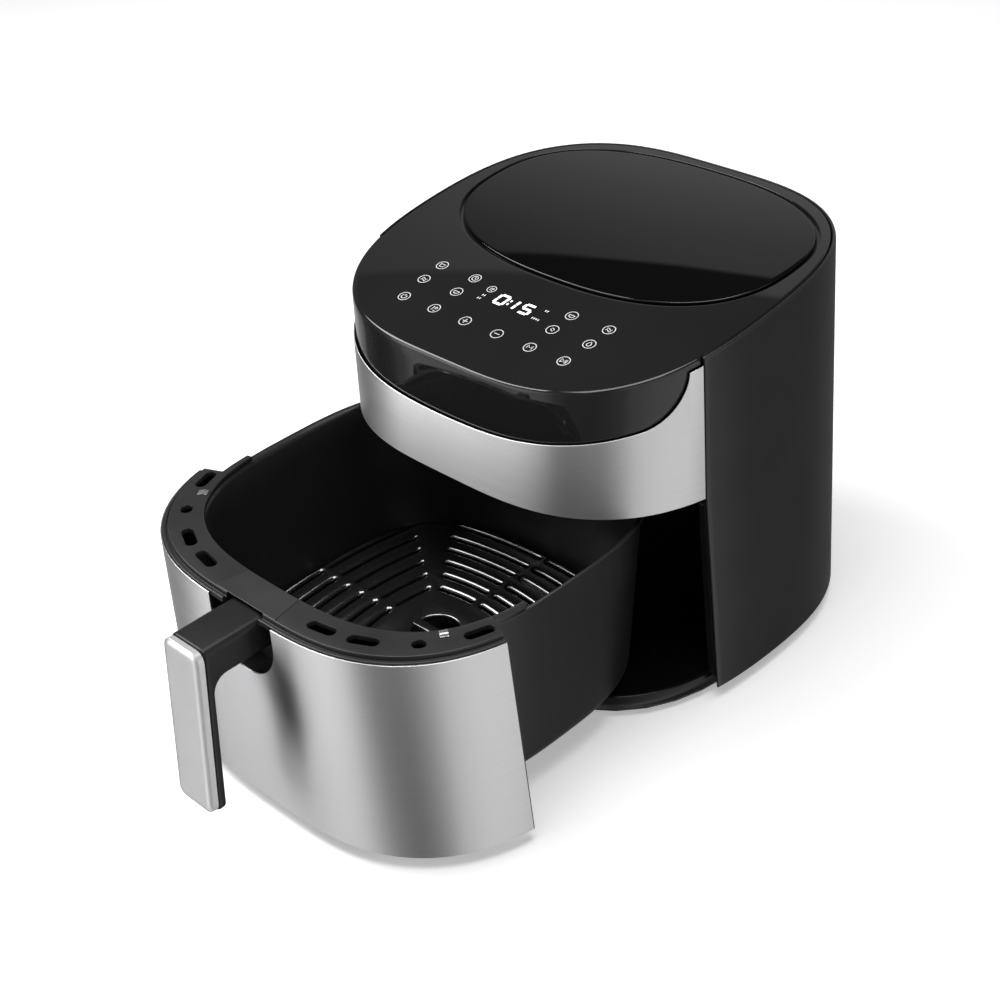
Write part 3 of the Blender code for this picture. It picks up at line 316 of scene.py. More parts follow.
def make_looks():
    made = [
        moulded("satin_black", (0.014, 0.014, 0.015), (0.019, 0.019, 0.020), 0.36),
        gloss_black("gloss_black", 0.012),
        moulded("dark_plastic", (0.015, 0.015, 0.016), (0.021, 0.021, 0.022), 0.34),
        moulded("grey_plastic", (0.024, 0.024, 0.025), (0.034, 0.034, 0.035), 0.30),
        brushed("brushed_steel", (0.64, 0.64, 0.65), (0.74, 0.74, 0.75), 0.40),
        silver_paint(),
        plain_metal("plain_steel", (0.52, 0.52, 0.53), 0.34),
        plain_metal("grey_liner", (0.06, 0.06, 0.062), 0.42, 0.6),
        non_stick("non_stick", 0.34, 0.0, 1.5),
        moulded("black_rubber", (0.014, 0.014, 0.014), (0.020, 0.020, 0.020), 0.75, 1200.0, 0.3),
        plain_metal("element_steel", (0.20, 0.17, 0.15), 0.45),
        circuit_board(),
        moulded("display_glass", (0.012, 0.012, 0.014), (0.018, 0.018, 0.022), 0.12, 600.0, 0.02),
        moulded("white_ceramic", (0.66, 0.65, 0.62), (0.74, 0.73, 0.70), 0.35, 500.0, 0.05),
        # painted shade: the near-black finish of the vent troughs stands in for the shade inside the vents
        moulded("painted_shade_black", (0.001, 0.001, 0.001), (0.002, 0.002, 0.002), 0.8),
        gloss_black("lid_gloss", 0.002),
        non_stick("plate_coat", 0.24, 1.0, 2.3),
        non_stick("handle_black", 0.32, 0.0, 1.5),
        moulded("base_black", (0.004, 0.004, 0.004), (0.007, 0.007, 0.007), 0.28),
        # painted glow: the printed icons get a faint light that brightens their ink
        lit("icon_ink_painted_glow", (0.60, 0.60, 0.61), 0.28),
        lit("digit_light", (0.95, 0.95, 0.96), 1.1),
    ]
    looks = {look.name: look for look in made}
    # painted shade: the vent troughs barely reflect, so the vents stay black
    looks["painted_shade_black"].put("Specular IOR Level", 0.05)
    looks["handle_black"].put("Specular IOR Level", 0.32)
    looks["base_black"].put("Specular IOR Level", 0.30)
    return looks


# Mesh helpers

def shown(name, data):
    made = bpy.data.objects.new(name, data)
    bpy.context.scene.collection.objects.link(made)
    return made


def as_mesh(name, bm):
    mesh = bpy.data.meshes.new(name)
    bm.to_mesh(mesh)
    bm.free()
    return mesh


def placed_mesh(name, bm, body):
    """A mesh in metres of a bmesh in millimetres, at its place in the stored pose."""
    shift = ORIGIN_Y - (DRAWER_OPEN if body in (DRAWER, PLATE) else 0.0)
    bmesh.ops.translate(bm, vec=(0.0, shift, 0.0), verts=bm.verts)
    bmesh.ops.scale(bm, vec=(MM, MM, MM), verts=bm.verts)
    return as_mesh(name, bm)


def piece(name, bm, look, body, replaces=(), flow=None, smooth=40.0):
    """A finished piece of a bmesh in millimetres, riding on its body and standing for its nodes."""
    if flow:
        layer = bm.loops.layers.uv.new("flow")
        for face in bm.faces:
            for loop in face.loops:
                loop[layer].uv = flow(loop.vert.co)
    mesh = placed_mesh(name, bm, body)
    mesh.shade_smooth()
    mesh.set_sharp_from_angle(angle=math.radians(smooth))
    mesh.materials.append(look.material)
    made = shown(name, mesh)
    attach(made, body)
    if replaces:
        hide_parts(*replaces)
    return made


def tool(name, bm, body=HOUSING):
    """A hidden cutter of a bmesh in millimetres, placed as a piece on that body is."""
    return bpy.data.objects.new(name, placed_mesh(name, bm, body))


def cut_away(made, cutters):
    """Cuts hidden tools out of a piece and keeps the result as its mesh."""
    for cutter in cutters:
        bpy.context.scene.collection.objects.link(cutter)
        modifier = made.modifiers.new("Cut", "BOOLEAN")
        modifier.operation = "DIFFERENCE"
        modifier.solver = "EXACT"
        modifier.object = cutter
    graph = bpy.context.evaluated_depsgraph_get()
    mesh = bpy.data.meshes.new_from_object(made.evaluated_get(graph))
    made.modifiers.clear()
    old = made.data
    made.data = mesh
    bpy.data.meshes.remove(old)
    mesh.name = made.name
    for cutter in cutters:
        bpy.data.objects.remove(cutter)
    mesh.set_sharp_from_angle(angle=math.radians(40))
    return made


def bevelled(made, width):
    modifier = made.modifiers.new("Edges", "BEVEL")
    modifier.width = width * MM
    modifier.segments = 2
    modifier.limit_method = "ANGLE"
    modifier.angle_limit = math.radians(40)
    modifier.harden_normals = True
    return made


def fillet(points, radius, steps=4):
    """A closed outline with its corners rounded. The radius is one number, or one per corner."""
    rounded = []
    count = len(points)
    for index in range(count):
        corner = Vector(points[index])
        before = Vector(points[index - 1]) - corner
        after = Vector(points[(index + 1) % count]) - corner
        size = radius[index] if isinstance(radius, list) else radius
        turn = before.angle(after)
        if size <= 0.0 or turn > math.radians(177):
            rounded.append(tuple(corner))
            continue
        reach = min(size / math.tan(turn / 2), before.length * 0.49, after.length * 0.49)
        start = corner + before.normalized() * reach
        end = corner + after.normalized() * reach
        for step in range(steps + 1):
            share = step / steps
            point = start * (1 - share) ** 2 + corner * (2 * share * (1 - share)) + end * share ** 2
            rounded.append(tuple(point))
    return rounded


def skin(rows, caps=False, centre=False):
    """A bmesh skin over rows of equally many points, each closed on itself."""
    bm = bmesh.new()
    verts = [[bm.verts.new(point) for point in row] for row in rows]
    for low, high in zip(verts, verts[1:]):
        for index in range(len(low)):
            after = (index + 1) % len(low)
            bm.faces.new((low[index], low[after], high[after], high[index]))
    if caps:
        bm.faces.new(list(reversed(verts[0])))
        bm.faces.new(verts[-1])
    if centre:
        for row in (verts[0], verts[-1]):
            middle = bm.verts.new(sum((vert.co for vert in row), Vector()) / len(row))
            for index in range(len(row)):
                bm.faces.new((row[index], row[(index + 1) % len(row)], middle))
    bmesh.ops.recalc_face_normals(bm, faces=bm.faces)
    return bm


def extruded(outline, low, high, axis="Z"):
    """A bmesh prism of a flat outline."""
    order = {
        "X": lambda u, v, w: (w, u, v),
        "Y": lambda u, v, w: (u, w, v),
        "Z": lambda u, v, w: (u, v, w),
    }[axis]
    bm = bmesh.new()
    start = [bm.verts.new(order(u, v, low)) for u, v in outline]
    end = [bm.verts.new(order(u, v, high)) for u, v in outline]
    bm.faces.new(start)
    bm.faces.new(list(reversed(end)))
    for index in range(len(outline)):
        after = (index + 1) % len(outline)
        bm.faces.new((start[index], start[after], end[after], end[index]))
    bmesh.ops.recalc_face_normals(bm, faces=bm.faces)
    return bm


def spread(start, end, count):
    return [start + (end - start) * index / count for index in range(count + 1)]


def quarter(steps, first=0):
    """Steps of a quarter turn as (1 - cosine, 1 - sine), so from (0, 1) to (1, 0)."""
    turns = [math.pi / 2 * step / steps for step in range(first, steps + 1)]
    return [(1 - math.cos(turn), 1 - math.sin(turn)) for turn in turns]


def polar(radius, angle, z=0.0):
    """A point at a distance from the body's axis."""
    turn = math.radians(angle)
    return (radius * math.sin(turn), -radius * math.cos(turn), z)


# The body's shape

def plan_radius(angle):
    turn = math.radians(angle)
    return PLAN_RADIUS * (1 - PLAN_TWO_LOBE * math.cos(2 * turn) - PLAN_FOUR_LOBE * math.cos(4 * turn))


def wall_point(angle, z, inset=0.0):
    taper = 1 + TAPER * (1 - (z - SHELL_BOTTOM) / (TOP_HEIGHT - SHELL_BOTTOM))
    return polar(plan_radius(angle) * taper - inset, angle, z)


def rim_radius(angle, inset=0.0):
    """Distance from the body's axis to the wall at the height of the drawer's rim."""
    return math.hypot(*wall_point(angle, RIM_TOP, inset)[:2])


def seam_angle(z, angle=SEAM):
    """Angle of the seam between the drawer front and the shell, or of a line beside it, at a height."""
    return angle + SEAM_SLANT * max(0.0, (BAND_BOTTOM - z) / (BAND_BOTTOM - SHELL_BOTTOM))


def top_z(y):
    return TOP_HEIGHT + TOP_SLOPE * y - TOP_CROWN * (y / HALF_WIDTH) ** 2


def edge_z(angle):
    return top_z(wall_point(angle, TOP_HEIGHT)[1])


def lid_point(angle, grow, rise, share=1.0):
    """A point of the lid's outline, grown and raised over the top, or part of the way from its middle."""
    turn = math.radians(angle)
    side, front = math.sin(turn), math.cos(turn)
    scale = abs(side / (LID_HALF_WIDTH + grow)) ** LID_POWER + abs(front / (LID_HALF_DEPTH + grow)) ** LID_POWER
    radius = share * scale ** (-1 / LID_POWER)
    y = LID_CENTRE - radius * front
    return (radius * side, y, top_z(y) + rise)


def band_columns(end):
    """Columns (angle, top line) across the band, close together round each horn."""
    half = []
    for angle in spread(0.5, HORN_START, 34):
        half.append((angle, BAND_TOP + BAND_SAG * (angle / HORN_START) ** 2))
    for step in range(1, 19):
        turn = math.pi / 2 * step / 18
        angle = HORN_START + (HORN_END - HORN_START) * math.sin(turn)
        rise = BAND_SAG * (angle / HORN_START) ** 2 + HORN_RISE * (1 - math.cos(turn))
        half.append((angle, BAND_TOP + rise))
    top = half[-1][1]
    limit = edge_z(HORN_END) - HOOD_EDGE - 1.4
    half = [(angle, min(z, limit)) for angle, z in half]
    if top < limit:
        half.append((HORN_END + 0.05, limit))
    for angle in spread(HORN_END + 0.4, end, 4):
        half.append((angle, edge_z(angle) - HOOD_EDGE - 1.4))
    return [(-angle, z) for angle, z in reversed(half)] + half


def around_wall(point):
    """Flow map of pieces on the wall: distance round the body, and height, in metres."""
    turn = math.atan2(point.x, -point.y)
    return (turn * PLAN_RADIUS * MM, point.z * MM)


def ribbon(end, outline):
    """A closed section of (inset, z) points swept round the drawer front, with both ends along the seam."""
    rows = []
    for angle in spread(-end, end, 150):
        rows.append([wall_point(angle * seam_angle(z, end) / end, z, inset) for inset, z in outline])
    return skin(rows, caps=True)


def oval(half_width, half_depth, centre, power, z, count=144):
    """A rounded rectangle as points from the front towards +X."""
    points = []
    for index in range(count):
        turn = 2 * math.pi * index / count
        side, front = math.sin(turn), math.cos(turn)
        radius = (abs(side / half_width) ** power + abs(front / half_depth) ** power) ** (-1 / power)
        points.append((radius * side, centre - radius * front, z))
    return points


# Housing

def outer_shell(look):
    """Wrap-round cover with a rolled top edge and softly broken front edges."""
    roll = SHELL_WALL
    heights = spread(SHELL_BOTTOM + 0.8, BAND_BOTTOM, 6) + [180.0, 200.0]

    def section(angle, squeeze):
        top = edge_z(angle)
        outline = [(0.5 + squeeze, SHELL_BOTTOM), (squeeze, SHELL_BOTTOM + 0.6)]
        outline += [(squeeze, z) for z in heights]
        for out, back in quarter(8):
            outline.append((squeeze + (roll - squeeze - 0.3) * out, top - roll * back))
        outline += [(SHELL_WALL - squeeze, top - 0.5), (SHELL_WALL - squeeze, 60.0)]
        outline += [(SHELL_WALL - squeeze, SHELL_BOTTOM)]
        return outline

    columns = [(SEAM, 0.55), (SEAM + 0.1, 0.2), (SEAM + 0.3, 0.0)]
    columns += [(angle, 0.0) for angle in spread(SEAM + 1.5, 358.5 - SEAM, 150)]
    columns += [(359.7 - SEAM, 0.0), (359.9 - SEAM, 0.2), (360 - SEAM, 0.55)]
    rows = []
    for angle, squeeze in columns:
        row = []
        for inset, z in section(angle, squeeze):
            turned = 180 + (angle - 180) * (180 - seam_angle(z)) / (180 - SEAM)
            row.append(wall_point(turned, z, inset))
        rows.append(row)
    shell = piece("shell_cover", skin(rows, caps=True), look, HOUSING, ["outer_shell"])
    width, height, z = GRILLE_WINDOW
    side, low, high = width / 2, z - height / 2, z + height / 2
    corners = [(-side, low), (side, low), (side, high), (-side, high)]
    window = tool("window", extruded(fillet(corners, 1.5, 3), 100, 160, "Y"))
    radius, z = INLET_HOLE
    circle = arc(0.0, z, radius)[:-1]
    return cut_away(shell, [window, tool("inlet", extruded(circle, 100, 170, "Y"))])


def base_tray(look):
    """Floor of the cavity with a rounded sill."""
    rows = [
        (BASE_INSET, 6.9), (BASE_INSET, 12.0), (BASE_INSET, SILL_TOP - 1.4), (BASE_INSET + 0.3, SILL_TOP - 0.6),
        (BASE_INSET + 0.8, SILL_TOP - 0.15), (BASE_INSET + 1.5, SILL_TOP), (BASE_INSET + 3.4, SILL_TOP),
        (BASE_INSET + 4.4, SILL_TOP - 0.3), (BASE_INSET + 6.6, BASE_FLOOR + 0.3), (BASE_INSET + 7.6, BASE_FLOOR),
        (BASE_INSET + 60.0, BASE_FLOOR),
    ]
    loops = [[wall_point(angle, z, inset) for angle in spread(0, 360, 160)[:-1]] for inset, z in rows]
    bm = skin(loops)
    top = [vert for vert in bm.verts if vert.co.z == BASE_FLOOR and vert.is_boundary]
    bm.faces.new(sorted(top, key=lambda vert: math.atan2(vert.co.y, vert.co.x)))
    bmesh.ops.recalc_face_normals(bm, faces=bm.faces)
    tray = piece("base_sill", bm, look, HOUSING, ["base_tray"])
    wall = tray.modifiers.new("Wall", "SOLIDIFY")
    wall.thickness = 2.4 * MM
    wall.offset = -1.0
    return tray


def steel_band(look):
    """Brushed band whose ends rise as horns beside the fascia."""
    rows = []
    for angle, top in band_columns(SEAM - 0.45):
        low = BAND_BOTTOM
        outline = fillet([(-0.7, low), (-0.7, top), (0.2, top), (0.2, low)], 0.4, 3)
        rows.append([wall_point(angle, z, inset) for inset, z in outline])
    return piece("band", skin(rows, caps=True), look, HOUSING, ["steel_band"], flow=around_wall)


def top_hood(look):
    """Gloss hood: fascia, rolled top edge, touch area and the recess for the lid, in one moulding."""
    soft = 0.5
    columns = [(angle, 1.2, z + soft, 2.4) for angle, z in band_columns(SEAM - 0.9)]
    columns += [(angle, 3.2, edge_z(angle) - 9.0, 1.2) for angle in spread(SEAM - 0.3, 360.3 - SEAM, 220)]
    rows = []
    for out, back in quarter(4):
        rows.append([
            wall_point(angle, low + soft * out, start + soft * back)
            for angle, start, low, _ in columns
        ])
    for share in spread(0.0, 1.0, 5)[1:]:
        row = []
        for angle, start, low, edge in columns:
            z = low + soft + share * (edge_z(angle) - edge - low - soft)
            row.append(wall_point(angle, z, start))
        rows.append(row)
    for out, back in quarter(8, 1):
        row = []
        for angle, start, _, edge in columns:
            x, y, _ = wall_point(angle, edge_z(angle), start + edge * out)
            row.append((x, y, top_z(y) - edge * back))
        rows.append(row)
    rim = rows[-1]
    turns = [math.degrees(math.atan2(x, LID_CENTRE - y)) for x, y, _ in rim]
    brink = [lid_point(angle, soft, 0.0) for angle in turns]
    for share in (0.02, 0.06, 0.15, 0.3, 0.45, 0.6, 0.75, 0.88, 0.95, 0.985, 1.0):
        row = []
        for start, end in zip(rim, brink):
            x, y = start[0] + share * (end[0] - start[0]), start[1] + share * (end[1] - start[1])
            row.append((x, y, top_z(y)))
        rows.append(row)
    for out, back in quarter(6, 1):
        rows.append([lid_point(angle, soft * back, -soft * out) for angle in turns])
    for grow in (-0.1, -6.0):
        rows.append([lid_point(angle, grow, -LID_SHELF) for angle in turns])
    hood = piece("hood", skin(rows), look, HOUSING, ["top_hood"])
    wall = hood.modifiers.new("Wall", "SOLIDIFY")
    wall.thickness = 1.8 * MM
    wall.offset = -1.0
    wall.use_even_offset = False
    return hood


def lid_panel(look):
    """Gloss lid, slightly domed, with a rounded edge behind the groove."""
    angles = spread(0, 360, 192)[:-1]
    gap = LID_GROOVE + 0.5
    edge, rim = 0.7, 0.4
    rows = [[lid_point(angle, -gap, rise) for angle in angles] for rise in (-2.0, rim - edge)]
    for out, back in quarter(5, 1):
        rows.append([lid_point(angle, -gap - edge * out, rim - edge * back) for angle in angles])
    for share in (0.985, 0.95, 0.91, 0.84, 0.74, 0.62, 0.5, 0.37, 0.24, 0.12, 0.03):
        rise = rim + 1.1 * (1 - share ** 2)
        rows.append([lid_point(angle, -gap - edge, rise, share) for angle in angles])
    return piece("lid", skin(rows, centre=True), look, HOUSING, ["lid_panel"])


# Drawer

def pan_oval(z, grow=0.0):
    lean = PAN_TAPER * (PAN_TOP - z)
    return oval(PAN_HALF_WIDTH - lean + grow, PAN_HALF_DEPTH - lean + grow, DRAWER_CENTRE, PAN_POWER, z, 160)


def basket(look):
    """Pressed pan with a rounded foot and a flange rolled outwards at the top."""
    rows, roll = [], 4.0
    for wall in (0.0, PAN_WALL):
        side = []
        corner = PAN_CORNER - wall
        low = PAN_BOTTOM + wall
        foot = pan_oval(low, -PAN_CORNER)
        for shrink in (0.35, 0.7, 0.9):
            side.append([(x * shrink, y * shrink + DRAWER_CENTRE * (1 - shrink), low) for x, y, _ in foot])
        side += [pan_oval(low + corner * out, -wall - corner * back) for out, back in quarter(8)]
        side += [pan_oval(z, -wall) for z in spread(low + corner, PAN_TOP - roll, 8)[1:]]
        top = PAN_TOP - (PAN_WALL - wall)
        for out, back in quarter(5, 1):
            edge = pan_oval(PAN_TOP, -wall + (PAN_FLANGE + wall) * out)
            side.append([(x, y, top - roll * back) for x, y, _ in edge])
        rows.append(side)
    outer, inner = rows
    return piece("pan", skin(outer + list(reversed(inner)), centre=True), look, DRAWER, ["basket"])


def pan_radius(angle):
    """Distance from the body's axis to the pan's inner edge at the rim."""
    turn = math.radians(angle)
    half_width, half_depth = PAN_HALF_WIDTH - PAN_WALL, PAN_HALF_DEPTH - PAN_WALL
    low, high = 50.0, 200.0
    for _ in range(40):
        radius = (low + high) / 2
        x, y = radius * math.sin(turn), -radius * math.cos(turn) - DRAWER_CENTRE
        inside = abs(x / half_width) ** PAN_POWER + abs(y / half_depth) ** PAN_POWER < 1
        low, high = (radius, high) if inside else (low, radius)
    return low


def drawer_frame(look):
    """Crescent rim with a groove inside its outer lip, pierced by round-ended vents."""
    rows = []
    for angle in spread(-BACKING_END + 0.2, BACKING_END - 0.2, 140):
        wall = rim_radius(angle, 2.2)
        inner = pan_radius(angle)
        corners = [
            (inner, RIM_BOTTOM), (wall - 4.6, RIM_BOTTOM), (wall - 4.6, RIM_SKIRT), (wall, RIM_SKIRT),
            (wall, RIM_LIP), (wall - 2.2, RIM_LIP), (wall - 2.6, RIM_LIP - 1.0), (wall - 3.4, RIM_LIP - 1.0),
            (wall - 3.8, RIM_TOP), (inner, RIM_TOP),
        ]
        radii = [0.4, 0.0, 0.3, 0.3, 0.6, 0.4, 0.2, 0.2, 0.6, 0.8]
        rows.append([polar(r, angle, z) for r, z in fillet(corners, radii, 3)])
    rim = piece("rim", skin(rows, caps=True), look, DRAWER, ["drawer_frame"])
    vents = [vent_cutter(side * angle, length) for side in (-1, 1) for angle, length in VENTS]
    cutters = [tool("vent", vent, DRAWER) for vent in vents]
    width = ARM_HALF + 0.6
    gap = [(-width, -170), (width, -170), (width, ARM_REAR + 0.6), (-width, ARM_REAR + 0.6)]
    cutters.append(tool("arm_gap", extruded(gap, 140, 170), DRAWER))
    return cut_away(rim, cutters)


def vent_cutter(angle, length):
    """A slot with round ends whose walls flare open at the top like a moulded edge."""
    centre = Vector(polar((rim_radius(angle) - 5.0 + pan_radius(angle)) / 2, angle)[:2])
    ahead = Vector(wall_point(angle + 1, RIM_TOP)) - Vector(wall_point(angle - 1, RIM_TOP))
    spin = Matrix.Rotation(math.atan2(ahead.y, ahead.x), 2)
    rows = []
    for z, grow in ((RIM_SKIRT - 5, 0.0), (RIM_TOP - 0.5, 0.0), (RIM_TOP - 0.2, 0.1), (RIM_TOP + 0.3, 0.5)):
        straight, end = (length - VENT_WIDTH) / 2, VENT_WIDTH / 2 + grow
        row = []
        for step in range(12):
            around = -math.pi / 2 + math.pi * step / 11
            row.append((straight + end * math.cos(around), end * math.sin(around)))
        row += [(-x, -y) for x, y in row]
        moved = [spin @ Vector(point) + centre for point in row]
        rows.append([(x, y, z) for x, y in moved])
    return skin(rows, caps=True)


def rim_ears(look):
    """Narrow ends of the rim that run on along the pan's edge behind the drawer front."""
    for name, side in (("ear_left", -1), ("ear_right", 1)):
        rows = []
        for angle in spread(EAR_START, EAR_END, 16):
            inner = pan_radius(angle)
            width = 5.6 - 1.4 * (angle - EAR_START) / (EAR_END - EAR_START)
            section = [(inner, 151.3), (inner + width, 151.3), (inner + width, 154.2), (inner, 154.2)]
            rows.append([polar(r, side * angle, z) for r, z in fillet(section, [0.2, 0.4, 0.7, 0.7], 3)])
        piece(name, skin(rows, caps=True), look, DRAWER)


def painted_shade_troughs(look):
    """Near-black trough under the rim's vents, one on each side of the arm: a dark sheet of painted shade that
    keeps the vents black inside.
    """
    top, low = 150.8, 139.0
    stations = [(14.5, top - 0.2), (15.0, top - 0.4)]
    stations += [(angle, low + 1.0) for angle in spread(15.3, 66.2, 40)]
    stations += [(66.5, top - 0.4), (66.9, top - 0.2)]
    for name, side in (("painted_shade_trough_left", -1), ("painted_shade_trough_right", 1)):
        rows = []
        for angle, floor_z in stations:
            inner, wall = pan_radius(angle) + 4.2, rim_radius(angle, 7.2)
            section = [(inner, top), (inner, low), (wall, low), (wall, top), (wall - 0.8, top)]
            section += [(wall - 0.8, floor_z), (inner + 0.8, floor_z), (inner + 0.8, top)]
            rows.append([polar(r, side * angle, z) for r, z in fillet(section, 0.3, 2)])
        piece(name, skin(rows, caps=True), look, DRAWER)


def u_outline(half, low, top, steps=28):
    points = [(half, top), (-half, top)]
    for step in range(steps + 1):
        around = math.pi + math.pi * step / steps
        points.append((half * math.cos(around), low + half + half * math.sin(around)))
    return points


def notch(grow):
    """Cutter for the arm's notch in the drawer front."""
    outline = u_outline(NOTCH_HALF + grow, NOTCH_BOTTOM - grow, 171)
    return tool("notch", extruded(outline, -160, -124, "Y"), DRAWER)


def front_panel(look):
    """Brushed steel skin of the drawer front with the notch for the arm."""
    outline = fillet([(1.0, PANEL_BOTTOM), (1.0, PANEL_TOP), (1.9, PANEL_TOP), (1.9, PANEL_BOTTOM)], 0.35, 3)
    skin_of_steel = ribbon(PANEL_END, outline)
    panel = piece("panel", skin_of_steel, look, DRAWER, ["front_panel"], flow=around_wall)
    return cut_away(panel, [notch(0.0)])


def panel_backing(look):
    """Black moulding behind the steel skin."""
    outline = fillet([(2.2, BACKING_BOTTOM), (2.2, 148.7), (5.8, 148.7), (5.8, BACKING_BOTTOM)], 0.5, 3)
    backing = piece("backing", ribbon(BACKING_END, outline), look, DRAWER, ["panel_backing"])
    return cut_away(backing, [notch(1.6)])


def handle_pocket(look):
    """U-shaped cup that closes the notch behind the arm."""
    front = wall_point(0, NOTCH_BOTTOM, 2.2)[1] + 1.2
    block = extruded(u_outline(NOTCH_HALF + 1.3, NOTCH_BOTTOM - 1.3, 148.7), front, POCKET_REAR, "Y")
    cup = piece("pocket", block, look, DRAWER, ["handle_pocket"])
    hollow = u_outline(NOTCH_HALF - 0.3, NOTCH_BOTTOM + 0.3, 160)
    cut_away(cup, [tool("hollow", extruded(hollow, front - 8, POCKET_REAR - 1.6, "Y"), DRAWER)])
    return cup


def handle_outline(shrink):
    """Side view of the arm and the grip's back, with its faces drawn in by a shrink from 0 to 1."""
    lean = (GRIP_TOP_Y - GRIP_BOTTOM_Y) / (ARM_TOP - GRIP_BOTTOM)
    top, foot = ARM_TOP - 5.0 * shrink, GRIP_BOTTOM + 2.4 * shrink
    front, back = 1.2 * shrink, GRIP_BACK - 2.4 * shrink
    low = ARM_BOTTOM - GRIP_CORNER
    points = [(ARM_REAR, top), (GRIP_TOP_Y + front, top)]
    points += [(GRIP_BOTTOM_Y + front, foot), (GRIP_BOTTOM_Y + back, foot)]
    points = fillet(points, [0.0, 2.0, 0.6, 2.6], 5)
    centre = GRIP_TOP_Y + GRIP_BACK - lean * (ARM_TOP - low) + GRIP_CORNER
    for step in range(13):
        turn = math.pi - math.pi / 2 * step / 12
        reach_y, reach_z = GRIP_CORNER + 2.4 * shrink, GRIP_CORNER + 4.0 * shrink
        points.append((centre + reach_y * math.cos(turn), low + reach_z * math.sin(turn)))
    points.append((ARM_REAR, ARM_BOTTOM + 4.0 * shrink))
    return points


def arm_and_grip(look):
    """Arm and grip back in one moulding with full round edges and a round inner corner."""
    half = []
    for out, back in quarter(7):
        half.append((ARM_HALF - 5.5 * back, out))
    columns = [(-x, shrink) for x, shrink in reversed(half)] + half
    rows = [[(x, y, z) for y, z in handle_outline(shrink)] for x, shrink in columns]
    return piece("arm", skin(rows, caps=True), look, DRAWER, ["handle"], smooth=50.0)


def grip_plate(look):
    """Silver facing of the grip with broad bevelled edges and rounded corners."""
    height = ARM_TOP - GRIP_BOTTOM
    tilt = -math.atan((GRIP_TOP_Y - GRIP_BOTTOM_Y) / height)
    half, end = GRIP_HALF, height / 2
    corners = [(half, end), (-half, end), (-half, -end), (half, -end)]
    rows = []
    profile = [(2.8, 0.3), (2.6, 0.0), (-0.9, 0.0), (-1.3, 0.25)]
    profile += [(-2.3, 1.9), (-2.65, 2.6), (-2.8, 3.5), (-2.8, 5.0)]
    for depth, shrink in profile:
        inner = [(x - math.copysign(shrink, x), z - math.copysign(shrink, z)) for x, z in corners]
        rows.append([(x, depth, z) for x, z in fillet(inner, 7.5 - shrink, 8)])
    bm = skin(rows, caps=True)
    bmesh.ops.rotate(bm, matrix=Matrix.Rotation(tilt, 3, "X"), verts=bm.verts)
    centre = (0, (GRIP_TOP_Y + GRIP_BOTTOM_Y) / 2 - GRIP_PLATE / 2 - 0.3, (ARM_TOP + GRIP_BOTTOM) / 2)
    bmesh.ops.translate(bm, vec=centre, verts=bm.verts)
    return piece("grip_facing", bm, look, DRAWER, ["grip_plate"], smooth=28.0)


def handle_bridge(look):
    """Flush cover over the arm's root, as wide as the rim's raised land and curved with it."""
    outer, inner = [], []
    for angle in spread(-11.6, 11.6, 24):
        outer.append(polar(rim_radius(angle, 6.6), angle)[:2])
        inner.append(polar(pan_radius(angle) + 1.0, angle)[:2])
    bm = extruded(outer + list(reversed(inner)), RIM_TOP - 0.4, RIM_TOP + 0.35)
    return bevelled(piece("bridge", bm, look, DRAWER, ["handle_bridge"]), 0.3)


def rim_clips(look):
    """Flat spring clips on the rim, each with a pressed rib."""
    low, flat, rib = 0.05, 0.75, 1.25
    fold = [(-3.4, low), (3.0, low), (3.0, flat), (1.2, flat)]
    fold += [(0.6, rib), (-0.4, rib), (-1.0, flat), (-3.4, flat)]
    for name, angle in (("clip_left", -56.0), ("clip_right", 54.5)):
        bm = extruded(fillet(fold, 0.3, 3), -2.6, 2.6, "X")
        bmesh.ops.rotate(bm, matrix=Matrix.Rotation(math.radians(angle), 3, "Z"), verts=bm.verts)
        bmesh.ops.translate(bm, vec=polar(pan_radius(angle) + 4.6, angle, RIM_TOP), verts=bm.verts)
        bevelled(piece(name, bm, look, DRAWER, ["rim_" + name]), 0.15)


# Crisper plate

def plate_half_sizes():
    inside = PAN_WALL + PLATE_GAP + PAN_TAPER * (PAN_TOP - PLATE_TOP)
    return PAN_HALF_WIDTH - inside, PAN_HALF_DEPTH - inside


def crisper_plate(look):
    """Pressed plate with rings of bowed slots whose edges are rolled down, and a split finger hole."""
    half_width, half_depth = plate_half_sizes()
    rows = []
    for drop, grow in ((1.6, -1.0), (1.6, -0.5), (1.4, -0.1), (0.9, 0.0), (0.5, -0.1), (0.15, -0.5), (0.0, -1.2)):
        rows.append(oval(half_width + grow, half_depth + grow, DRAWER_CENTRE, PLATE_POWER, PLATE_TOP - drop, 144))
    plate = piece("crisper", skin(rows, caps=True), look, PLATE, ["crisper_plate"])
    cutters = []
    rings = 7
    for ring in range(2, rings + 1):
        share = 0.235 + 0.635 * (ring - 1) / (rings - 1)
        for side in range(4):
            reach = (half_width, half_depth)[side % 2 == 0] * share
            span = (half_depth, half_width)[side % 2 == 0] * share
            for half in (-1, 1):
                cutters.append(tool("slot", slot_cutter(side, half, reach, span), PLATE))
    cutters += [tool("finger_hole", half_hole(side), PLATE) for side in (-1, 1)]
    return cut_away(plate, [merged(cutters)])


def merged(cutters):
    """One cutter of several that don't meet."""
    bm = bmesh.new()
    for cutter in cutters:
        bm.from_mesh(cutter.data)
        bpy.data.objects.remove(cutter)
    return bpy.data.objects.new("cutters", as_mesh("cutters", bm))


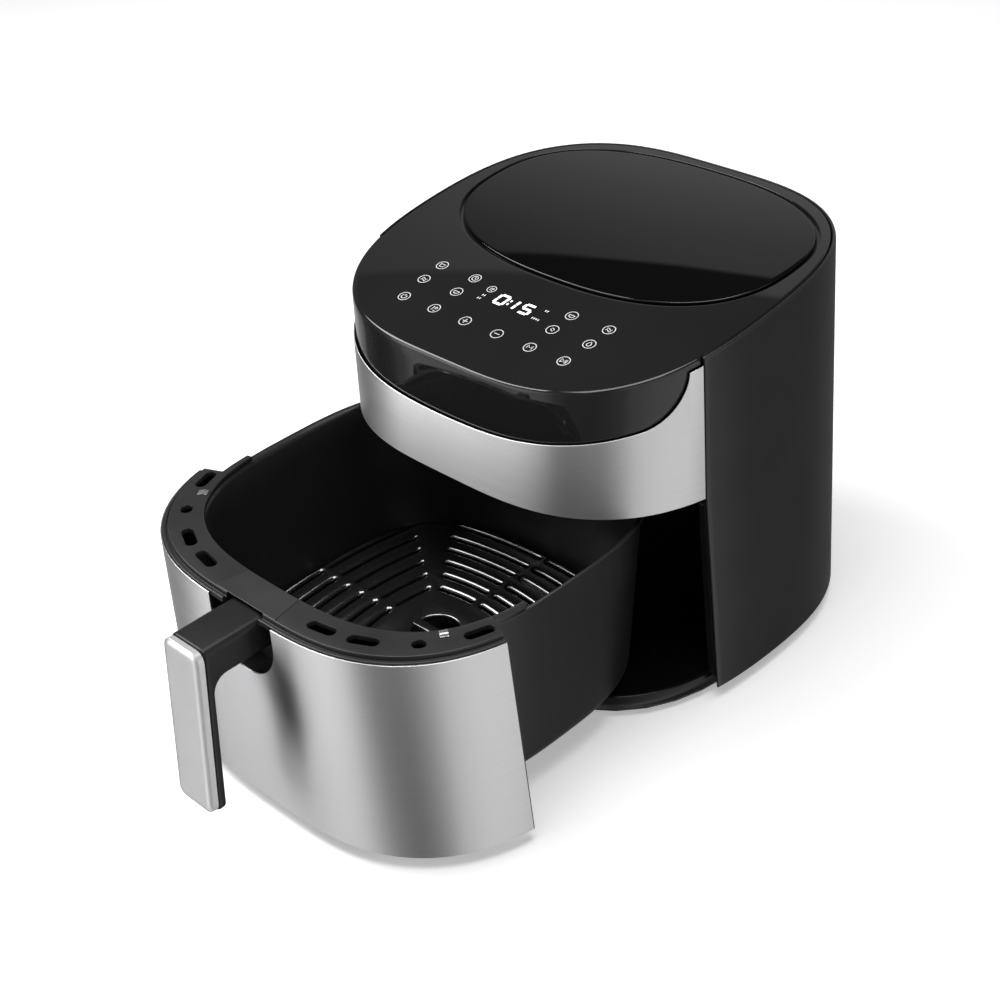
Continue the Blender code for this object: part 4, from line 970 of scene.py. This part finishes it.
def slot_cutter(side, half, reach, span):
    """A slot bowed with the plate's outline, round at its ends and flared at the top."""
    start, end = PLATE_BAR, span * 0.80
    centre_line = []
    for along in spread(start, end, 10):
        bow = 0.14 * reach * (1 - (along / max(reach, 1)) ** 2)
        centre_line.append(Vector((half * along, -(reach - 3 + bow))))
    rows = []
    for rise, width in ((-6, 1.4), (-1.9, 1.4), (-1.3, 1.6), (-0.8, 2.0), (-0.4, 2.6), (-0.1, 3.3), (0.1, 3.95)):
        rows.append([(x, y, PLATE_TOP + rise) for x, y in stadium(centre_line, width)])
    bm = skin(rows, caps=True)
    bmesh.ops.rotate(bm, matrix=Matrix.Rotation(math.pi / 2 * side, 3, "Z"), verts=bm.verts)
    bmesh.ops.translate(bm, vec=(0, DRAWER_CENTRE, 0), verts=bm.verts)
    return bm


def stadium(line, width, ends=5):
    """Outline of a round-ended band of a half width along a line."""
    left, right = [], []
    for index, point in enumerate(line):
        ahead = line[min(index + 1, len(line) - 1)] - line[max(index - 1, 0)]
        normal = Vector((-ahead.y, ahead.x)).normalized()
        left.append(point + normal * width)
        right.append(point - normal * width)
    outline = list(left)
    for corner, facing in ((line[-1], line[-1] - line[-2]), (line[0], line[0] - line[1])):
        base = math.atan2(facing.y, facing.x)
        for step in range(1, ends):
            turn = base + math.pi / 2 - math.pi * step / ends
            outline.append(corner + Vector((math.cos(turn), math.sin(turn))) * width)
        if corner is line[-1]:
            outline += list(reversed(right))
    return [tuple(point) for point in outline]


def half_hole(side):
    """Half of the finger hole on one side of its bar, with a rolled edge."""
    rows = []
    for rise, grow in ((-6, 0.0), (-1.1, 0.0), (-0.6, 0.2), (-0.2, 0.7), (0.4, 2.0)):
        radius = FINGER_HOLE + grow
        low = 3.6 - grow * 0.6
        start = math.asin(low / radius)
        row = []
        for step in range(25):
            turn = start + (math.pi - 2 * start) * step / 24
            row.append((radius * math.cos(turn), DRAWER_CENTRE + side * radius * math.sin(turn), PLATE_TOP + rise))
        rows.append(row)
    return skin(rows, caps=True)


# Touch area

def top_place(x, y, lift=0.05):
    return (x, y, top_z(y) + lift)


def stroke(bm, points, width, closed=False):
    """A flat printed line of a width through points of the top surface."""
    line = [Vector(point) for point in points]
    left, right = [], []
    count = len(line)
    for index, point in enumerate(line):
        if closed:
            ahead = line[(index + 1) % count] - line[index - 1]
        else:
            ahead = line[min(index + 1, count - 1)] - line[max(index - 1, 0)]
        normal = Vector((-ahead.y, ahead.x)).normalized() * (width / 2)
        left.append(bm.verts.new(top_place(*(point + normal))))
        right.append(bm.verts.new(top_place(*(point - normal))))
    for index in range(count if closed else count - 1):
        after = (index + 1) % count
        bm.faces.new((right[index], right[after], left[after], left[index]))


def arc(x, y, radius, start=0.0, end=360.0, steps=40):
    points = []
    for angle in spread(start, end, steps):
        turn = math.radians(angle)
        points.append((x + radius * math.cos(turn), y + radius * math.sin(turn)))
    return points


def glyph(bm, kind, x, y, size=1.0):
    """A small plain sign inside a ring."""
    width = 0.55
    lines = {
        "plus": [[(-1.7, 0), (1.7, 0)], [(0, -1.7), (0, 1.7)]],
        "minus": [[(-1.7, 0), (1.7, 0)]],
        "power": [arc(0, -0.2, 1.5, 130, 410, 20), [(0, 0.4), (0, 1.9)]],
        "mode": [[(-1.5, -1.2), (-1.5, 1.3), (0, -0.4), (1.5, 1.3), (1.5, -1.2)]],
        "play": [
            [(-1.7, -1.3), (-1.7, 1.3), (0.2, 0), (-1.7, -1.3)],
            [(0.9, -1.3), (0.9, 1.3)], [(1.7, -1.3), (1.7, 1.3)],
        ],
        "heat": [[(-0.9, -1.6), (-0.9, 1.6)], arc(0.9, 0.6, 0.7, 0, 360, 12), [(0.3, -1.5), (1.5, -1.5)]],
        "bowl": [arc(0, 0.3, 1.7, 180, 360, 14), [(-1.7, 0.4), (1.7, 0.4)]],
        "wave": [
            [(u, v + rise) for u, v in ((-1.8, 0), (-0.9, 0.6), (0, 0), (0.9, -0.6), (1.8, 0))]
            for rise in (0.6, -0.8)
        ],
        "leaf": [arc(-0.5, -0.6, 1.6, 10, 100, 8), arc(0.6, 0.6, 1.6, 190, 280, 8)],
        "clock": [arc(0, 0, 1.7, 0, 360, 18), [(0, 1.1), (0, 0), (0.8, -0.4)]],
        "basket": [[(-1.6, 1.0), (-1.1, -1.3), (1.1, -1.3), (1.6, 1.0), (-1.6, 1.0)]],
        "drop": [arc(0, -0.4, 1.2, 140, 400, 16), [(-0.9, 0.4), (0, 1.9), (0.9, 0.4)]],
    }[kind]
    for line in lines:
        stroke(bm, [(x + u * size, y + v * size) for u, v in line], width)


def touch_marks(look):
    """Rings with signs, laid out in rows either side of the time display."""
    bm = bmesh.new()
    marks = [
        (-69.1, -99.8, "power"), (-41.5, -99.8, "heat"), (-13.8, -99.8, "plus"),
        (13.8, -99.8, "minus"), (41.5, -99.8, "mode"), (69.1, -99.8, "play"),
        (-71.5, -79.7, "wave"), (-41.5, -79.7, "bowl"), (41.5, -79.7, "leaf"), (71.5, -79.7, "drop"),
        (-72.0, -62.5, "basket"), (-41.5, -62.9, "clock"), (42.3, -63.0, "bowl"), (72.3, -62.9, "wave"),
    ]
    for x, y, kind in marks:
        stroke(bm, arc(x, y, 4.0)[:-1], 0.55, closed=True)
        glyph(bm, kind, x, y, 1.25)
    stroke(bm, arc(-23.0, -66.5, 3.1)[:-1], 0.5, closed=True)
    glyph(bm, "heat", -23.0, -66.5, 0.9)
    return piece("touch_marks", bm, look, HOUSING)


def time_display(look):
    """A slanted seven-segment time and two unit ticks."""
    bm = bmesh.new()
    width, height, slant, thick = 7.0, 8.8, 0.06, 1.9
    ends = {
        "a": ((0, 2), (1, 2)), "b": ((1, 2), (1, 1)), "c": ((1, 1), (1, 0)), "d": ((0, 0), (1, 0)),
        "e": ((0, 0), (0, 1)), "f": ((0, 1), (0, 2)), "g": ((0, 1), (1, 1)),
    }

    def spot(x0, y0, u, v):
        y = v * height / 2
        return (x0 + u * width + slant * y, y0 + y)

    base = -76.3
    for names, x0 in (("abcdef", -12.6), ("bc", -3.8), ("afgcd", 8.9)):
        for name in names:
            (u0, v0), (u1, v1) = ends[name]
            start, end = Vector(spot(x0, base, u0, v0)), Vector(spot(x0, base, u1, v1))
            along = (end - start).normalized() * 0.35
            stroke(bm, [start + along, end - along], thick)
    for lift in (0.62, 1.38):
        x, y = spot(-2.5, base, 0.0, lift)
        stroke(bm, [(x - 0.6, y), (x + 0.6, y)], thick)
    for x0, y0, count in ((21.6, -77.6, 4), (24.2, -68.0, 2), (-24.6, -78.4, 2), (-24.0, -74.6, 2)):
        for step in range(count):
            x = x0 + 1.7 * step
            stroke(bm, [(x, y0), (x + 0.4, y0 + 1.6)], 0.4)
    return piece("time_digits", bm, look, HOUSING)


# Stage

def camera():
    """Camera at the height and side from which the open drawer and the top both show."""
    data = bpy.data.cameras.new("camera")
    data.sensor_width = 36.0
    data.lens = 63.236
    data.clip_end = 50.0
    made = shown("camera", data)
    side, rise, roll = math.radians(47.0076), math.radians(33.4374), math.radians(4.5615)
    back = Vector((math.sin(side) * math.cos(rise), -math.cos(side) * math.cos(rise), math.sin(rise)))
    right = (-back).cross(Vector((0, 0, 1))).normalized()
    down = (-back).cross(right)
    across = math.cos(roll) * right + math.sin(roll) * down
    up = math.sin(roll) * right - math.cos(roll) * down
    made.matrix_world = Matrix((
        (across.x, up.x, back.x, 0.7019),
        (across.y, up.y, back.y, -0.7497 + ORIGIN_Y * MM),
        (across.z, up.z, back.z, 0.7515),
        (0, 0, 0, 1),
    ))
    bpy.context.scene.camera = made


def area(name, place, target, size, power):
    """Rectangular soft light that faces its target and isn't seen itself."""
    data = bpy.data.lights.new(name, "AREA")
    data.shape = "RECTANGLE"
    data.size, data.size_y = size
    data.energy = power
    made = shown(name, data)
    made.location = place
    made.rotation_mode = "QUATERNION"
    made.rotation_quaternion = (Vector(place) - Vector(target)).to_track_quat("Z", "Y")
    made.visible_camera = False


LOWER_CARDS = [
    (-180, 0.22), (-140, 0.28), (-111, 0.74), (-93, 0.48), (-86, 0.12), (-70, 0.04), (-62, 0.08), (-55, 0.35),
    (-49, 1.10), (-33, 0.88), (-18, 1.30), (-6, 1.10), (5, 0.40), (14, 0.20), (30, 0.16), (43, 0.28), (52, 0.42),
    (65, 0.90), (84, 1.18), (105, 1.25), (122, 0.35), (140, 0.12), (180, 0.22),
]
UPPER_CARDS = [
    (-180, 0.62), (-140, 0.58), (-112, 0.16), (-86, 0.02), (-70, 0.04), (-60, 0.10), (-54, 0.40), (-50, 2.20),
    (-46, 4.20), (-41, 2.60), (-36, 2.20), (-22, 2.40), (-9, 1.50), (3, 0.20), (20, 0.14), (35, 0.12), (55, 0.90),
    (85, 1.10), (105, 1.70), (125, 0.35), (150, 0.30), (180, 0.62),
]


def world():
    """Studio surround: pale cards round the object with dark gaps between them, and a plain pale background."""
    made = bpy.data.worlds.new("studio")
    bpy.context.scene.world = made
    made.use_nodes = True
    tree = made.node_tree
    tree.nodes.clear()

    def node(kind, **values):
        return add_node(tree, kind, **values)

    def math_node(operation, *sources):
        item = node("ShaderNodeMath", operation=operation)
        for socket, source in zip(item.inputs, sources):
            if isinstance(source, (int, float)):
                socket.default_value = source
            else:
                tree.links.new(source, socket)
        return item.outputs[0]

    place = node("ShaderNodeTexCoord").outputs["Generated"]
    split = node("ShaderNodeSeparateXYZ")
    tree.links.new(place, split.inputs[0])
    x, y, z = split.outputs
    turn = math_node("ARCTAN2", x, math_node("MULTIPLY", y, -1.0))
    share = math_node("ADD", math_node("DIVIDE", turn, math.tau), 0.5)

    def ring(stops):
        ramp = node("ShaderNodeValToRGB")
        tree.links.new(share, ramp.inputs[0])
        ramp.color_ramp.interpolation = "EASE"
        elements = ramp.color_ramp.elements
        while len(elements) < len(stops):
            elements.new(0.5)
        for element, (angle, value) in zip(elements, stops):
            element.position = angle / 360 + 0.5
            element.color = (value, value, value, 1.0)
        return ramp.outputs[0]

    def step_of_height(low, high, start, end):
        step = node("ShaderNodeMapRange", interpolation_type="SMOOTHSTEP")
        tree.links.new(z, step.inputs["Value"])
        for name, value in (("From Min", low), ("From Max", high), ("To Min", start), ("To Max", end)):
            step.inputs[name].default_value = value
        return step.outputs[0]

    lower = ring(LOWER_CARDS)
    upper = ring(UPPER_CARDS)
    rise = step_of_height(-0.10, 0.05, 0.0, 1.0)
    blend = math_node("ADD", lower, math_node("MULTIPLY", rise, math_node("SUBTRACT", upper, lower)))
    glow = math_node("MULTIPLY", blend, step_of_height(0.592, 0.600, 1.0, 0.085))
    glow = math_node("MULTIPLY", glow, step_of_height(0.38, 0.60, 1.0, 0.74))
    back = node("ShaderNodeBackground")
    tree.links.new(glow, back.inputs["Strength"])
    plain = node("ShaderNodeBackground")
    plain.inputs["Color"].default_value = (1.0, 1.0, 1.0, 1.0)
    mix = node("ShaderNodeMixShader")
    tree.links.new(node("ShaderNodeLightPath").outputs["Is Camera Ray"], mix.inputs[0])
    tree.links.new(back.outputs[0], mix.inputs[1])
    tree.links.new(plain.outputs[0], mix.inputs[2])
    tree.links.new(mix.outputs[0], node("ShaderNodeOutputWorld").inputs["Surface"])


def floor():
    look = Look("floor", (0.9, 0.9, 0.9), 0.9)
    look.link(look.node("ShaderNodeLightPath").outputs["Is Camera Ray"], look.shader.inputs["Emission Strength"])
    look.put("Emission Color", (0.34, 0.34, 0.34, 1.0))
    look.colour(look.ranged(look.noise(3.0, 1.0), 0.0, 1.0), (0.90, 0.90, 0.90), (0.92, 0.92, 0.92))
    bm = bmesh.new()
    bmesh.ops.create_circle(bm, cap_ends=True, segments=96, radius=20.0)
    mesh = as_mesh("floor", bm)
    mesh.materials.append(look.material)
    made = shown("floor", mesh)
    made.visible_glossy = False


# Assembly

def carried_nodes(looks):
    """Gives every CAD node that still shows its finish."""
    for part in frame["record"]["subparts"]:
        node = frame["nodes"][part["node"]]
        node.data.materials.clear()
        node.data.materials.append(looks[part["material_slot"]].material)


def main():
    looks = make_looks()
    carried_nodes(looks)
    camera()
    world()
    floor()
    area("key", (0.2, -0.2, 2.4), (0.0, 0.0, 0.1), (1.6, 1.6), 42)
    area("side_card", (-0.92, -0.35, 1.25), (0.0, -0.06, 0.05), (0.6, 1.0), 16)
    pieces = (
        (outer_shell, "satin_black"), (base_tray, "base_black"), (steel_band, "brushed_steel"),
        (top_hood, "gloss_black"), (lid_panel, "lid_gloss"), (basket, "non_stick"),
        (drawer_frame, "dark_plastic"), (front_panel, "brushed_steel"), (panel_backing, "satin_black"),
        (handle_pocket, "dark_plastic"), (arm_and_grip, "handle_black"), (grip_plate, "silver_grip"),
        (handle_bridge, "grey_plastic"), (rim_clips, "plain_steel"), (rim_ears, "dark_plastic"),
        # the vent troughs are painted shade under the rim's vents
        (painted_shade_troughs, "painted_shade_black"), (crisper_plate, "plate_coat"), (touch_marks, "icon_ink_painted_glow"),
        (time_display, "digit_light"),
    )
    for build, name in pieces:
        build(looks[name])
    bpy.context.scene.view_settings.view_transform = "Standard"


main()
